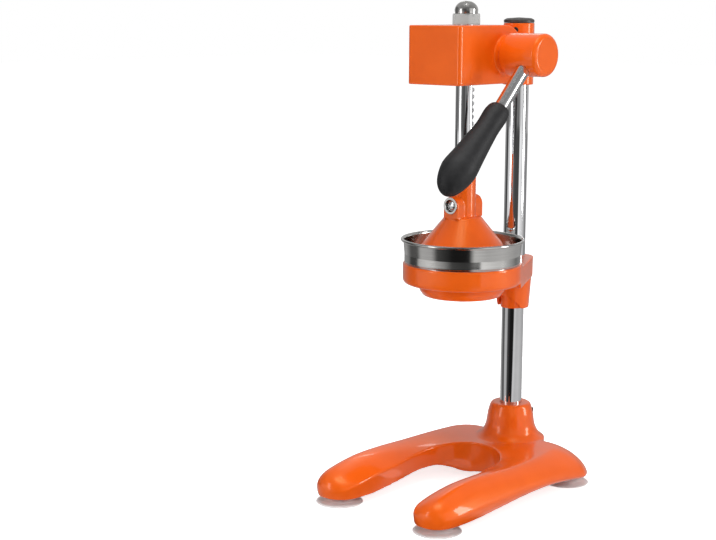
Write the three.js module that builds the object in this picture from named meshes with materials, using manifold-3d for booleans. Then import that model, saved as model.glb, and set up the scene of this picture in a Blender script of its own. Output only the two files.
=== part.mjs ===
// A lever citrus press. A cast base on four suction cups carries a chromed column. The column
// carries a bracket with a steel bowl and reamer, and above it a gear head. Turning the lever
// turns a pinion in the head, and the pinion drives a rack rod with the press cone on its end.
// Lengths are millimetres. +X is the lever's side, -Y the front and +Z up. The origin lies on
// the table, midway between the four feet. The press stands at the end of its stroke, cone down.

import * as THREE from 'three';
import { mergeVertices } from 'three/addons/utils/BufferGeometryUtils.js';
import Module from 'manifold-3d';

const wasm = await Module();
wasm.setup();

// Clearances and facets
const fit = 0.3; // gap left between two faces that touch
const overrun = 1; // how far a cut runs past the face that it opens
const fineSides = 32;
const midSides = 20;
const smallSides = 12;

// Feet
const footSpreadX = 75; // middle of the press to a foot, sideways
const footSpreadY = 125; // middle of the press to a foot, front to back
const footInset = 30; // a foot to the casting's side
const cupRadius = 28;
const cupHeight = 9; // table to the casting's seat
const cupLipWidth = 3;
const cupLipHeight = 1.2;
const cupHollowDepth = 2.6;
const cupHubRadius = 13;
const studRadius = 3;
const studGrip = 4; // length held in the rubber
const studReach = 14; // length held in the casting
const footBossRadius = 12;
const footBossHeight = 20;

// Base casting
const baseHalfWidth = footSpreadX + footInset;
const baseHalfLength = footSpreadY + cupRadius;
const legHeight = 50; // highest line of a leg
const legEdge = 2.5; // rounding where the inner wall turns over
const baseWall = 6;
const columnFromRearFeet = 16;
const neckHeight = 92; // table to the neck's mouth
const neckMouthRadius = 25;
const neckFlareRadius = 43;
const neckMouthEdge = 2;
const socketWall = 6;
const socketFloor = 20; // table to the column's lower end
const socketFloorThickness = 5;

// Column
const columnRadius = 13.5;
const columnWall = 2;
const capRadius = 18.3;
const capFlange = 3.4;
const capCrown = 3;
const capPlugLength = 14;
const capCrownShares = [[0.8, 0.6], [0.45, 0.92]]; // of the cap's radius and of its crown

// Head: the shaft's axis is the middle of its round back
const shaftHeight = 526;
const throat = 102; // column axis to rod axis
const headHalfHeight = 33.6;
const headHalfWidth = 38.4;
const headReach = 84.5; // shaft axis to front face
const headWall = 5;
const headEdge = 1.6;
const collarRadius = 22;
const collarLength = 6.6;
const leftBossRadius = 16;
const leftBossLength = 3;
const innerBossRadius = 14;
const guideBossRadius = 18;
const guideBossDepth = 4;
const clampRadius = 18.5; // socket of the head round the column
const clampTop = 35; // shaft axis to the socket's top
const clampBottom = 38.5; // shaft axis to the socket's lower end
const neckWebHalfWidth = 15;
const neckWebTop = 20;
const neckWebBottom = 29;
const plateThickness = 5;
const plateRear = 8; // shaft axis to the plate's rear edge
const plateScrewInset = 7; // cavity wall to a screw's axis
const plateScrewRadius = 2;
const plateScrewHeadRadius = 3.8;
const plateScrewHeadHeight = 2.2;
const plateScrewLength = 14;
const plateBossRadius = 8;

// Rack and pinion
const gearModule = 2.5;
const gearTeeth = 18;
const gearWidth = 20;
const backlash = 0.4;
const rootClearanceShare = 0.25; // of a module
const pressureAngle = THREE.MathUtils.degToRad(20);
const rackPitchPlane = 3.5; // rod axis to the rack's pitch plane
const rackPhase = 2.4; // height over the shaft of the nearest tooth gap
const rackGapsAbove = 2;
const rackGapsBelow = 13;

// Shaft, bushes and the lever's hub
const shaftRadius = 8;
const shaftBushRadius = 10;
const gearSideGap = 2; // pinion's side to the boss beside it
const keyWidth = 5;
const keyLength = 16;
const ringGrooveWidth = 1.8;
const ringGrooveDepth = 1;
const ringRadius = 11;
const shaftLeftOverhang = 5;
const shaftLeftChamfer = 1;
const hubRadius = 24.5;
const hubLength = 51;
const hubGap = 0.8; // collar to hub
const hubOuterEdge = 5.5;
const hubEdgeShares = [0.4, 0.75, 0.93]; // of the way along the outer edge's rounding
const hubInnerEdge = 1.5;
const hubFaceThickness = 9;
const leverFromHubFace = 21.5; // hub's outer face to the lever's axis
const hubScrewFromFace = 41;

// Lever and grip
const leverAngle = THREE.MathUtils.degToRad(45); // from straight down, toward the front
const leverRadius = 8;
const leverSeat = 12; // shaft axis to the lever's inner end
const gripStart = 82; // shaft axis to the grip's mouth
const gripLength = 130;
const gripHold = 95; // length of lever inside the grip
const gripRadius = 19.8; // at its fullest
const gripBulge = 6.6; // how far the palm swell leaves the lever's axis

// Plunger
const rodRadius = 11;
const threadRadius = 10;
const threadLength = 19;
const guideWall = 3;
const lowerGuideLength = 10;
const nutFlats = 30;
const nutHexHeight = 12.6;
const nutDomeRadius = 13.6;
const nutDomeHeight = 14.6;
const nutEdge = 0.8;
const nutCollarShare = 0.25; // straight part of the dome's height
const nutDomeShares = [0.35, 0.65, 0.86, 0.97]; // of the way up the rest of the dome

// Press cone
const coneTopRadius = 21.5;
const coneMargin = 5; // strainer's rim to the cone's rim
const coneAngle = THREE.MathUtils.degToRad(39.2); // from the axis to the cone's side
const coneWall = 4.6; // measured level
const coneTopThickness = 6;
const coneLipHeight = 2;
const coneLipTuck = 2;
const coneRestGap = 2; // cone's lip to the strainer at the end of the stroke
const coneRodFloor = 5; // cavity roof to the rod's end
const coneNeckRadius = 14.6;
const coneNeckHeight = 60; // cone's top to the neck's mouth
const crossBossRadius = 10.5;
const crossBossHeight = 14.5; // cone's top to the bolt's axis
const crossBossHalfLength = 23.5;
const boltRadius = 5;
const boltHeadRadius = 6.8;
const boltHeadHeight = 4;
const boltDomeShares = [[0.5, 0.9], [0.85, 0.6], [1, 0.2]]; // of the head's radius and height
const boltRecessRadius = 8.2;
const boltRecessDepth = 4.5;
const boltNutFlats = 13;
const ferruleWall = 0.7;
const ferruleRim = 2; // width of its rim over the boss's face
const ferruleRimHeight = 1;

// Bowl and reamer
const ringTop = 281; // table to the bracket's ring, which the bowl hangs on
const wellRadius = 64; // outside of the part that hangs in the ring
const wellDepth = 8;
const bowlLedge = 6; // well to the band above it
const bowlHeight = 29.6; // ring to the rim's top
const rimOverhang = 3.3;
const rimDepth = 3.2;
const sheet = 1.2;
const funnelDepth = 11;
const spoutTopRadius = 19;
const spoutRadius = 15;
const spoutLength = 26;
const strainerLap = 2; // length of the strainer's plate on the bowl's ledge
const reamerFromWell = 27; // gap for the rind and the juice
const reamerHeight = 36;
const drainHoles = 16;
const drainRadius = 1.8;
const drainsFromReamer = 7; // reamer's foot to the circle of the drain holes

// Bracket
const ringClearance = 1.5; // well to the ring
const ringHeight = 24;
const ringWall = 5;
const dishRadius = 51;
const dishDepth = 15;
const dishFootRadius = 46;
const dishWall = 4;
const spoutClearance = 5; // spout to the dish's hole
const sleeveTopRadius = 23.8;
const sleeveFootRadius = 19.4;
const sleeveBelowRingTop = 4;
const sleeveLength = 63.5;
const sleeveTubeRadius = 15; // tube left inside the arch
const webHeight = 24;
const archRadius = 18; // opening in the front of the sleeve's foot
const archDrop = 1.5; // sleeve's foot to the arch's centre

// Grub screws
const grubRadius = 3;
const grubSocketRadius = 1.5;
const grubSocketDepth = 3;
const grubStand = 1; // length left outside
const baseScrewDrop = 11; // neck's mouth to the screw
const baseScrewAzimuth = THREE.MathUtils.degToRad(135);
const headScrewDrop = 8; // socket's top to the screw
const headScrewAzimuth = THREE.MathUtils.degToRad(24);
const bracketScrewAzimuth = THREE.MathUtils.degToRad(180);

// Places that follow from the sizes
const columnY = footSpreadY - columnFromRearFeet;
const rodY = columnY - throat;
const gearPitchRadius = gearModule * gearTeeth / 2;
const shaftY = rodY + rackPitchPlane + gearPitchRadius;
const rodFromShaft = rodY - shaftY;
const columnFromShaft = columnY - shaftY;
const headTop = shaftHeight + headHalfHeight;
const clampTopHeight = shaftHeight + clampTop;
const shaftBoreRadius = shaftRadius + fit;
const bushBoreRadius = shaftBushRadius + fit;
const bushInnerEnd = gearWidth / 2 + gearSideGap;
const leftBossFace = headHalfWidth + leftBossLength;
const collarFace = headHalfWidth + collarLength;
const hubInnerFace = collarFace + hubGap;
const hubOuterFace = hubInnerFace + hubLength;
const leverX = hubOuterFace - leverFromHubFace;
const guideRadius = rodRadius + fit;
const guideOuterRadius = guideRadius + guideWall;
const upperGuideLength = headWall + guideBossDepth;
const bowlRadius = wellRadius + bowlLedge;
const reamerRadius = wellRadius - reamerFromWell;
const rimRadius = bowlRadius + rimOverhang;
const strainerRadius = wellRadius + strainerLap;
const coneRimRadius = strainerRadius - coneMargin;
const ringRadiusOuter = wellRadius + ringClearance + ringWall;
const dishHoleRadius = spoutTopRadius + spoutClearance;
const ledgeTop = ringTop + fit + sheet;
const strainerTop = ledgeTop + fit + sheet;
const coneLip = strainerTop + coneRestGap;
const coneShoulder = coneLip + coneLipHeight;
const coneTop = coneShoulder + (coneRimRadius - coneTopRadius) / Math.tan(coneAngle);
const rodEnd = coneTop - coneTopThickness + coneRodFloor;

// Finishes
const paint = { color: 0xf25a08, roughness: 0.3, metalness: 0.0 };
const chrome = { color: 0xdedede, roughness: 0.08, metalness: 1.0 };
const steel = { color: 0xb9b7b2, roughness: 0.28, metalness: 1.0 };
const plainSteel = { color: 0x8d8d8d, roughness: 0.45, metalness: 1.0 };
const bronze = { color: 0xa5773c, roughness: 0.4, metalness: 1.0 };
const blackSteel = { color: 0x2b2b2b, roughness: 0.5, metalness: 0.6 };
const blackPlastic = { color: 0x303233, roughness: 0.45, metalness: 0.0 };
const greyPlastic = { color: 0x4a4a4a, roughness: 0.5, metalness: 0.0 };
const silicone = { color: 0xd5d7d8, roughness: 0.55, metalness: 0.0 };

// Solids: every shape is a closed geometry that keeps only its places
function closed(geometry) {
  const bare = new THREE.BufferGeometry();
  bare.setAttribute('position', geometry.getAttribute('position').clone());
  if (geometry.index) bare.setIndex(geometry.index.clone());
  const merged = mergeVertices(bare);
  const place = merged.getAttribute('position');
  const corners = merged.index.array;
  const kept = [];
  let volume = 0;
  const [a, b, c] = [new THREE.Vector3(), new THREE.Vector3(), new THREE.Vector3()];
  for (let i = 0; i < corners.length; i += 3) {
    const [p, q, r] = corners.slice(i, i + 3);
    if (p === q || q === r || r === p) continue;
    kept.push(p, q, r);
    volume += a.fromBufferAttribute(place, p)
      .dot(b.fromBufferAttribute(place, q).cross(c.fromBufferAttribute(place, r)));
  }
  if (volume < 0) kept.reverse();
  merged.setIndex(kept);
  return merged;
}

function toSolid(geometry) {
  const clean = closed(geometry);
  return new wasm.Manifold(new wasm.Mesh({
    numProp: 3,
    vertProperties: new Float32Array(clean.getAttribute('position').array),
    triVerts: new Uint32Array(clean.index.array),
  }));
}

function toGeometry(solid) {
  const { vertProperties, triVerts } = solid.getMesh();
  const geometry = new THREE.BufferGeometry();
  geometry.setAttribute('position', new THREE.BufferAttribute(vertProperties, 3));
  geometry.setIndex(new THREE.BufferAttribute(triVerts, 1));
  return geometry;
}

function join(...shapes) {
  return toGeometry(shapes.map(toSolid).reduce((whole, next) => whole.add(next)));
}

function cut(shape, ...tools) {
  return toGeometry(tools.map(toSolid).reduce((whole, tool) => whole.subtract(tool), toSolid(shape)));
}

function common(shape, other) {
  return toGeometry(toSolid(shape).intersect(toSolid(other)));
}

// Basic forms
function turned(profile, sides) {
  const points = profile.map(([radius, height]) => new THREE.Vector2(radius, height));
  return closed(new THREE.LatheGeometry(points, sides).rotateX(Math.PI / 2));
}

function bar(radius, from, to, sides) {
  return turned([[0, from], [radius, from], [radius, to], [0, to]], sides);
}

function ring(innerRadius, outerRadius, from, to, sides) {
  return turned([[innerRadius, from], [outerRadius, from], [outerRadius, to],
    [innerRadius, to], [innerRadius, from]], sides);
}

function block(x0, x1, y0, y1, z0, z1) {
  return new THREE.BoxGeometry(x1 - x0, y1 - y0, z1 - z0)
    .translate((x0 + x1) / 2, (y0 + y1) / 2, (z0 + z1) / 2);
}

function flatShape(points) {
  return new THREE.Shape(points.map(([u, v]) => new THREE.Vector2(u, v)));
}

function upright(shape, from, to) {
  return new THREE.ExtrudeGeometry(shape, { depth: to - from, bevelEnabled: false }).translate(0, 0, from);
}

// A shape drawn in y and z, run along x
function acrossX(shape, from, to, edge = 0) {
  const rounded = edge > 0;
  const geometry = new THREE.ExtrudeGeometry(shape, {
    depth: to - from - edge * 2,
    curveSegments: midSides / 2,
    bevelEnabled: rounded,
    bevelSize: edge,
    bevelThickness: edge,
    bevelOffset: -edge,
    bevelSegments: 2,
  }).translate(0, 0, from + edge);
  const [y, z, x] = [new THREE.Vector3(0, 1, 0), new THREE.Vector3(0, 0, 1), new THREE.Vector3(1, 0, 0)];
  return geometry.applyMatrix4(new THREE.Matrix4().makeBasis(y, z, x));
}

function lyingX(geometry) {
  return geometry.rotateY(Math.PI / 2);
}

function lyingY(geometry) {
  return geometry.rotateX(-Math.PI / 2);
}

// Points a form that stands on +Z outward, at an azimuth from the front toward +X
function outward(geometry, azimuth) {
  return geometry.rotateY(Math.PI / 2).rotateZ(azimuth - Math.PI / 2);
}

// Joins rings of equally many points, with the two ends closed by fans
function loft(rings) {
  const count = rings[0].length;
  const places = rings.flat().flatMap((p) => [p.x, p.y, p.z]);
  const corners = [];
  for (let i = 0; i + 1 < rings.length; i += 1) {
    for (let j = 0; j < count; j += 1) {
      const next = (j + 1) % count;
      const [a, b] = [i * count + j, i * count + next];
      corners.push(a, b, b + count, a, b + count, a + count);
    }
  }
  for (const [i, flip] of [[0, true], [rings.length - 1, false]]) {
    const middle = rings[i].reduce((sum, p) => sum.add(p), new THREE.Vector3()).divideScalar(count);
    const centre = places.length / 3;
    places.push(middle.x, middle.y, middle.z);
    for (let j = 0; j < count; j += 1) {
      const [a, b] = [i * count + j, i * count + (j + 1) % count];
      corners.push(...(flip ? [centre, b, a] : [centre, a, b]));
    }
  }
  const geometry = new THREE.BufferGeometry();
  geometry.setAttribute('position', new THREE.Float32BufferAttribute(places, 3));
  geometry.setIndex(corners);
  return geometry;
}

function hexPrism(flats, from, to, turn = 0) {
  const points = [];
  for (let i = 0; i < 6; i += 1) {
    const angle = turn + i * Math.PI / 3;
    points.push([flats / Math.sqrt(3) * Math.cos(angle), flats / Math.sqrt(3) * Math.sin(angle)]);
  }
  return upright(flatShape(points), from, to);
}

function group(parent, x, y, z) {
  const frame = new THREE.Group();
  frame.position.set(x, y, z);
  parent.add(frame);
  return frame;
}

function piece(parent, name, finish, geometry) {
  const mesh = new THREE.Mesh(closed(geometry), new THREE.MeshStandardMaterial(finish));
  mesh.name = name;
  parent.add(mesh);
  return mesh;
}

// A grub screw's hole and the screw itself, both standing on +Z
function grubHole(inner, outer) {
  return bar(grubRadius + fit, inner, outer, smallSides);
}

function grubScrew(inner, outer) {
  return cut(
    bar(grubRadius, inner, outer, smallSides),
    hexPrism(grubSocketRadius * Math.sqrt(3), outer - grubSocketDepth, outer + overrun),
  );
}

// Feet
function suctionCup() {
  const seat = cupHeight - fit;
  const rubber = turned([
    [0, cupHollowDepth],
    [cupRadius / 2, cupHollowDepth],
    [cupRadius - cupLipWidth, 0],
    [cupRadius, 0],
    [cupRadius, cupLipHeight],
    [(cupRadius + cupHubRadius) / 2, cupLipHeight + (seat - cupLipHeight) / 3],
    [cupHubRadius, seat - cupLipHeight],
    [cupHubRadius, seat],
    [0, seat],
  ], midSides);
  return cut(rubber, bar(studRadius + fit, seat - studGrip, seat + overrun, smallSides));
}

function cupStud() {
  return bar(studRadius, cupHeight - studGrip, cupHeight + studReach, smallSides);
}

// Base casting: one half of the horseshoe, from the front of a leg to the middle of the back.
// Each row is a station: inner edge x and y, outer edge x and y, as shares of the half width and
// half length; inner crease, crown and underside as shares of the leg's height; and the belly,
// where the outer wall stands furthest out, as a share of the way from the underside to the crown.
const legStationShares = [
  [0.690, -0.990, 0.750, -0.990, 0.29, 0.34, 0.21, 0.36],
  [0.590, -0.968, 0.840, -0.970, 0.36, 0.57, 0.19, 0.36],
  [0.495, -0.912, 0.935, -0.912, 0.44, 0.73, 0.18, 0.36],
  [0.448, -0.810, 0.983, -0.800, 0.53, 0.85, 0.18, 0.36],
  [0.438, -0.595, 1.000, -0.560, 0.64, 0.97, 0.20, 0.33],
  [0.457, -0.335, 1.000, -0.270, 0.70, 0.99, 0.26, 0.30],
  [0.485, -0.070, 1.000, 0.060, 0.78, 0.96, 0.33, 0.26],
  [0.457, 0.137, 1.000, 0.385, 0.84, 0.96, 0.34, 0.18],
  [0.362, 0.250, 1.000, 0.680, 0.89, 0.97, 0.26, 0.12],
  [0.267, 0.303, 0.970, 0.855, 0.92, 0.98, 0.18, 0.10],
  [0.171, 0.335, 0.800, 0.980, 0.94, 0.98, 0.17, 0.11],
  [0.086, 0.349, 0.430, 0.998, 0.95, 0.97, 0.20, 0.12],
  [0.000, 0.353, 0.000, 0.999, 0.95, 0.96, 0.22, 0.12],
];
const legCrownShare = 0.6; // of the way from the inner edge to the outer
const legTopShares = [0.15, 0.3, 0.45]; // of the way across, between the crease and the crown
const legOuterShares = [0.3, 0.55, 0.75, 0.9, 0.98]; // of the way from the crown to the outer edge
const legOuterPower = 1.5; // of the outer wall's curve, where 2 is a plain quarter round
const legHollowShares = [0.35, 0.6, 0.8, 0.94]; // of the way from the crown to the hollow's outer wall
const legTuckShare = 0.07; // of the leg's width, drawn in at the underside's outer edge
const stationsPerSpan = 2;
const hollowWallsLeast = 5; // the casting is hollowed where it is wider than this many walls

function legStations() {
  const mirrored = legStationShares.slice(0, -1).reverse()
    .map(([ix, iy, ox, oy, ...heights]) => [-ix, iy, -ox, oy, ...heights]);
  const rows = [...legStationShares, ...mirrored];
  const blendRow = (t) => {
    const at = Math.min(Math.floor(t), rows.length - 2);
    const near = [-1, 0, 1, 2].map((k) => rows[THREE.MathUtils.clamp(at + k, 0, rows.length - 1)]);
    const [r0, r1, r2, r3] = near;
    return r1.map((_, k) => catmullRom(r0[k], r1[k], r2[k], r3[k], t - at));
  };
  const stations = [];
  for (let i = 0; i <= (rows.length - 1) * stationsPerSpan; i += 1) {
    const [ix, iy, ox, oy, crease, crown, under, belly] = blendRow(i / stationsPerSpan);
    stations.push({
      inner: new THREE.Vector2(ix * baseHalfWidth, iy * baseHalfLength),
      outer: new THREE.Vector2(ox * baseHalfWidth, oy * baseHalfLength),
      crease: crease * legHeight,
      crown: crown * legHeight,
      under: under * legHeight,
      belly: THREE.MathUtils.lerp(under, crown, belly) * legHeight,
    });
  }
  return stations;
}

function catmullRom(p0, p1, p2, p3, t) {
  const [v0, v1] = [(p2 - p0) / 2, (p3 - p1) / 2];
  return p1 + v0 * t + (3 * (p2 - p1) - 2 * v0 - v1) * t ** 2 + (2 * (p1 - p2) + v0 + v1) * t ** 3;
}

function legFall(share) {
  return (1 - share ** legOuterPower) ** (1 / legOuterPower);
}

function legSection({ inner, outer, crease, crown, under, belly }) {
  const width = inner.distanceTo(outer);
  const edge = Math.min(legEdge, width / 6);
  const at = (across, height) => {
    const spot = inner.clone().lerp(outer, across);
    return new THREE.Vector3(spot.x, spot.y, height);
  };
  const section = [
    at(edge / width, under),
    at(0, under + edge),
    at(0, crease - edge),
    at(edge / width, crease),
  ];
  for (const share of legTopShares) {
    const rise = Math.sin(share / legCrownShare * Math.PI / 2);
    section.push(at(share, crease + (crown - crease) * rise));
  }
  section.push(at(legCrownShare, crown));
  for (const share of legOuterShares) {
    const across = THREE.MathUtils.lerp(legCrownShare, 1, share);
    section.push(at(across, THREE.MathUtils.lerp(belly, crown, legFall(share))));
  }
  section.push(at(1, belly), at(1 - legTuckShare / 4, (belly + under) / 2), at(1 - legTuckShare, under));
  return section;
}

function legHollow({ inner, outer, crease, crown, belly }) {
  const width = inner.distanceTo(outer);
  const wall = baseWall / width;
  const at = (across, height) => {
    const spot = inner.clone().lerp(outer, across);
    return new THREE.Vector3(spot.x, spot.y, height);
  };
  const side = 1 - wall * 3 / 2;
  const slope = legHollowShares.map((share) => {
    const across = THREE.MathUtils.lerp(legCrownShare, side, share);
    const fall = legFall((across - legCrownShare) / (1 - legCrownShare));
    return at(across, THREE.MathUtils.lerp(belly, crown, fall) - baseWall);
  });
  return [
    at(wall, -overrun),
    at(wall, crease - baseWall),
    at(legCrownShare / 2, (crease + crown) / 2 - baseWall),
    at(legCrownShare, crown - baseWall),
    ...slope,
    at(side, belly),
    at(side, -overrun),
  ];
}

// Of the flare's radius, and of the way from the deck to the neck's mouth
const neckFlareShares = [[1, 0], [0.89, 0.07], [0.79, 0.18], [0.72, 0.33], [0.685, 0.5], [0.65, 0.72]];

function deckHeight() {
  const [, , , , , crown] = legStationShares.at(-1);
  return legHeight * crown;
}

function baseCasting() {
  const stations = legStations();
  const deck = deckHeight();
  const flare = neckFlareShares.map(([radius, rise]) => [
    radius * neckFlareRadius, deck + (neckHeight - deck) * rise,
  ]);
  const neck = turned([
    [0, deck - baseWall],
    [neckFlareRadius, deck - baseWall],
    ...flare,
    [neckMouthRadius, neckHeight - neckMouthEdge],
    [neckMouthRadius - neckMouthEdge, neckHeight],
    [0, neckHeight],
  ], fineSides).translate(0, columnY, 0);
  const boreRadius = columnRadius + fit;
  const socket = bar(boreRadius + socketWall, socketFloor - socketFloorThickness, deck, midSides)
    .translate(0, columnY, 0);
  const roomy = stations.filter(({ inner, outer }, i) => (
    i % stationsPerSpan === 0 && inner.distanceTo(outer) > baseWall * hollowWallsLeast
  ));
  const shell = cut(join(loft(stations.map(legSection)), neck), loft(roomy.map(legHollow)));
  const bosses = [];
  const bores = [bar(boreRadius, socketFloor, neckHeight + overrun, midSides).translate(0, columnY, 0)];
  for (const [x, y] of footPlaces()) {
    bosses.push(bar(footBossRadius, cupHeight, cupHeight + footBossHeight, smallSides * 2)
      .translate(x, y, 0));
    bores.push(bar(studRadius + fit, cupHeight - overrun, cupHeight + studReach + fit, smallSides)
      .translate(x, y, 0));
  }
  bores.push(outward(grubHole(0, neckFlareRadius), baseScrewAzimuth)
    .translate(0, columnY, neckHeight - baseScrewDrop));
  return cut(join(shell, socket, ...bosses), ...bores);
}

function footPlaces() {
  return [[-footSpreadX, -footSpreadY], [footSpreadX, -footSpreadY],
    [-footSpreadX, footSpreadY], [footSpreadX, footSpreadY]];
}

function addBase(press) {
  piece(press, 'base_casting', paint, baseCasting());
  footPlaces().forEach(([x, y]) => {
    const corner = `${y < 0 ? 'front' : 'rear'}_${x < 0 ? 'left' : 'right'}`;
    const foot = group(press, x, y, 0);
    piece(foot, `suction_cup_${corner}`, silicone, suctionCup());
    piece(foot, `cup_stud_${corner}`, plainSteel, cupStud());
  });
  const outer = neckRadiusAt(neckHeight - baseScrewDrop) + grubStand;
  piece(group(press, 0, columnY, neckHeight - baseScrewDrop), 'base_set_screw', blackSteel,
    outward(grubScrew(columnRadius + fit, outer), baseScrewAzimuth));
}

function neckRadiusAt(height) {
  const deck = deckHeight();
  const [lastRadius, lastRise] = neckFlareShares.at(-1);
  const low = deck + (neckHeight - deck) * lastRise;
  const share = THREE.MathUtils.clamp((height - low) / (neckHeight - neckMouthEdge - low), 0, 1);
  return THREE.MathUtils.lerp(lastRadius * neckFlareRadius, neckMouthRadius, share);
}

// Column
function addColumn(press) {
  const bore = columnRadius - columnWall;
  const top = clampTopHeight - fit;
  const column = group(press, 0, columnY, 0);
  piece(column, 'column_tube', chrome, ring(bore, columnRadius, socketFloor + fit, top, midSides));
  const seat = clampTopHeight + fit;
  const flangeTop = seat + capFlange;
  piece(column, 'column_cap', greyPlastic, turned([
    [0, seat - capPlugLength],
    [bore - fit, seat - capPlugLength],
    [bore - fit, seat],
    [capRadius, seat],
    [capRadius, flangeTop],
    ...capCrownShares.map(([radius, rise]) => [radius * capRadius, flangeTop + rise * capCrown]),
    [0, flangeTop + capCrown],
  ], midSides));
}

// Head, built round the shaft's axis. Its side is a rectangle in front and half a disc behind.
function headSide(half, front) {
  const shape = new THREE.Shape();
  shape.moveTo(front, -half);
  shape.lineTo(0, -half);
  shape.absarc(0, 0, half, -Math.PI / 2, Math.PI / 2, false);
  shape.lineTo(front, half);
  shape.closePath();
  return shape;
}

const cavityHalfWidth = headHalfWidth - headWall;
const cavityFront = headWall - headReach;
const cavityHalfHeight = headHalfHeight - headWall;
const plateTop = plateThickness - headHalfHeight;

function plateScrewPlaces() {
  const x = cavityHalfWidth - plateScrewInset;
  const front = cavityFront + plateScrewInset;
  const rear = -plateRear - plateScrewInset;
  return [[-x, front], [x, front], [-x, rear], [x, rear]];
}

function headHousing() {
  const shell = join(
    acrossX(headSide(headHalfHeight, -headReach), -headHalfWidth, headHalfWidth, headEdge),
    lyingX(bar(collarRadius, 0, collarFace, midSides)),
    lyingX(bar(leftBossRadius, -leftBossFace, 0, midSides)),
    bar(clampRadius, -clampBottom, clampTop, midSides).translate(0, columnFromShaft, 0),
    block(-neckWebHalfWidth, neckWebHalfWidth, 0, columnFromShaft, -neckWebBottom, neckWebTop),
  );
  const cavity = join(
    acrossX(headSide(cavityHalfHeight, cavityFront), -cavityHalfWidth, cavityHalfWidth),
    block(-cavityHalfWidth, cavityHalfWidth, cavityFront, -plateRear, -headHalfHeight - overrun, 0),
  );
  const bosses = [
    lyingX(bar(innerBossRadius, bushInnerEnd, headHalfWidth - headEdge, midSides)),
    lyingX(bar(innerBossRadius, headEdge - headHalfWidth, -bushInnerEnd, midSides)),
    bar(guideBossRadius, headHalfHeight - headWall - guideBossDepth, headHalfHeight - headEdge, midSides)
      .translate(0, rodFromShaft, 0),
  ];
  const bores = [
    lyingX(bar(bushBoreRadius, -leftBossFace - overrun, collarFace + overrun, midSides)),
    bar(guideOuterRadius + fit, 0, headHalfHeight + overrun, midSides).translate(0, rodFromShaft, 0),
    bar(columnRadius + fit, -clampBottom - overrun, clampTop + overrun, midSides)
      .translate(0, columnFromShaft, 0),
    outward(grubHole(0, clampRadius + overrun), headScrewAzimuth)
      .translate(0, columnFromShaft, clampTop - headScrewDrop),
  ];
  for (const [x, y] of plateScrewPlaces()) {
    const roof = plateTop + fit + plateScrewLength;
    bosses.push(bar(plateBossRadius, plateTop + fit, roof + plateThickness, smallSides).translate(x, y, 0));
    bores.push(bar(plateScrewRadius + fit, plateTop - overrun, roof, smallSides).translate(x, y, 0));
  }
  const outline = acrossX(headSide(headHalfHeight - headEdge, headEdge - headReach),
    headEdge - headHalfWidth, headHalfWidth - headEdge);
  const inside = bosses.map((boss) => common(boss, outline));
  return cut(join(cut(shell, cavity), ...inside), ...bores);
}

function bottomPlate() {
  const plate = block(fit - cavityHalfWidth, cavityHalfWidth - fit, cavityFront + fit, -plateRear - fit,
    -headHalfHeight, plateTop);
  const holes = [bar(guideOuterRadius + fit, -headHalfHeight - overrun, plateTop + overrun, midSides)
    .translate(0, rodFromShaft, 0)];
  for (const [x, y] of plateScrewPlaces()) {
    holes.push(turned([
      [0, -headHalfHeight - overrun],
      [plateScrewHeadRadius + fit, -headHalfHeight - overrun],
      [plateScrewHeadRadius + fit, -headHalfHeight],
      [plateScrewRadius + fit, plateScrewHeadHeight - headHalfHeight],
      [plateScrewRadius + fit, plateTop + overrun],
      [0, plateTop + overrun],
    ], smallSides).translate(x, y, 0));
  }
  return cut(plate, ...holes);
}

function plateScrew() {
  const face = -headHalfHeight;
  return cut(turned([
    [0, face],
    [plateScrewHeadRadius, face],
    [plateScrewRadius, face + plateScrewHeadHeight],
    [plateScrewRadius, plateTop + plateScrewLength],
    [0, plateTop + plateScrewLength],
  ], smallSides), hexPrism(plateScrewRadius * 2, face - overrun, face + plateScrewHeadHeight / 2));
}

function addHead(press) {
  const head = group(press, 0, shaftY, shaftHeight);
  piece(head, 'head_housing', paint, headHousing());
  piece(head, 'head_bottom_plate', blackSteel, bottomPlate());
  plateScrewPlaces().forEach(([x, y], i) => {
    piece(group(head, x, y, 0), `plate_screw_${i + 1}`, plainSteel, plateScrew());
  });
  const guides = group(head, 0, rodFromShaft, 0);
  piece(guides, 'upper_guide_bush', bronze,
    ring(guideRadius, guideOuterRadius, headHalfHeight - upperGuideLength, headHalfHeight, midSides));
  piece(guides, 'lower_guide_bush', bronze,
    ring(guideRadius, guideOuterRadius, -headHalfHeight, lowerGuideLength - headHalfHeight, midSides));
  piece(head, 'shaft_bush_right', bronze,
    lyingX(ring(shaftBoreRadius, shaftBushRadius, bushInnerEnd, collarFace, midSides)));
  piece(head, 'shaft_bush_left', bronze,
    lyingX(ring(shaftBoreRadius, shaftBushRadius, -leftBossFace, -bushInnerEnd, midSides)));
  piece(group(head, 0, columnFromShaft, clampTop - headScrewDrop), 'head_set_screw', blackSteel,
    outward(grubScrew(columnRadius + fit, clampRadius + grubStand), headScrewAzimuth));
}

// Pinion, shaft and key
function involute(angle) {
  return Math.tan(angle) - angle;
}

function toothHalfAngle(radius) {
  const baseRadius = gearPitchRadius * Math.cos(pressureAngle);
  const pitchHalf = (Math.PI * gearModule - backlash) / (gearPitchRadius * 4);
  const flank = involute(Math.acos(Math.min(baseRadius / radius, 1)));
  return pitchHalf + involute(pressureAngle) - flank;
}

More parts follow.
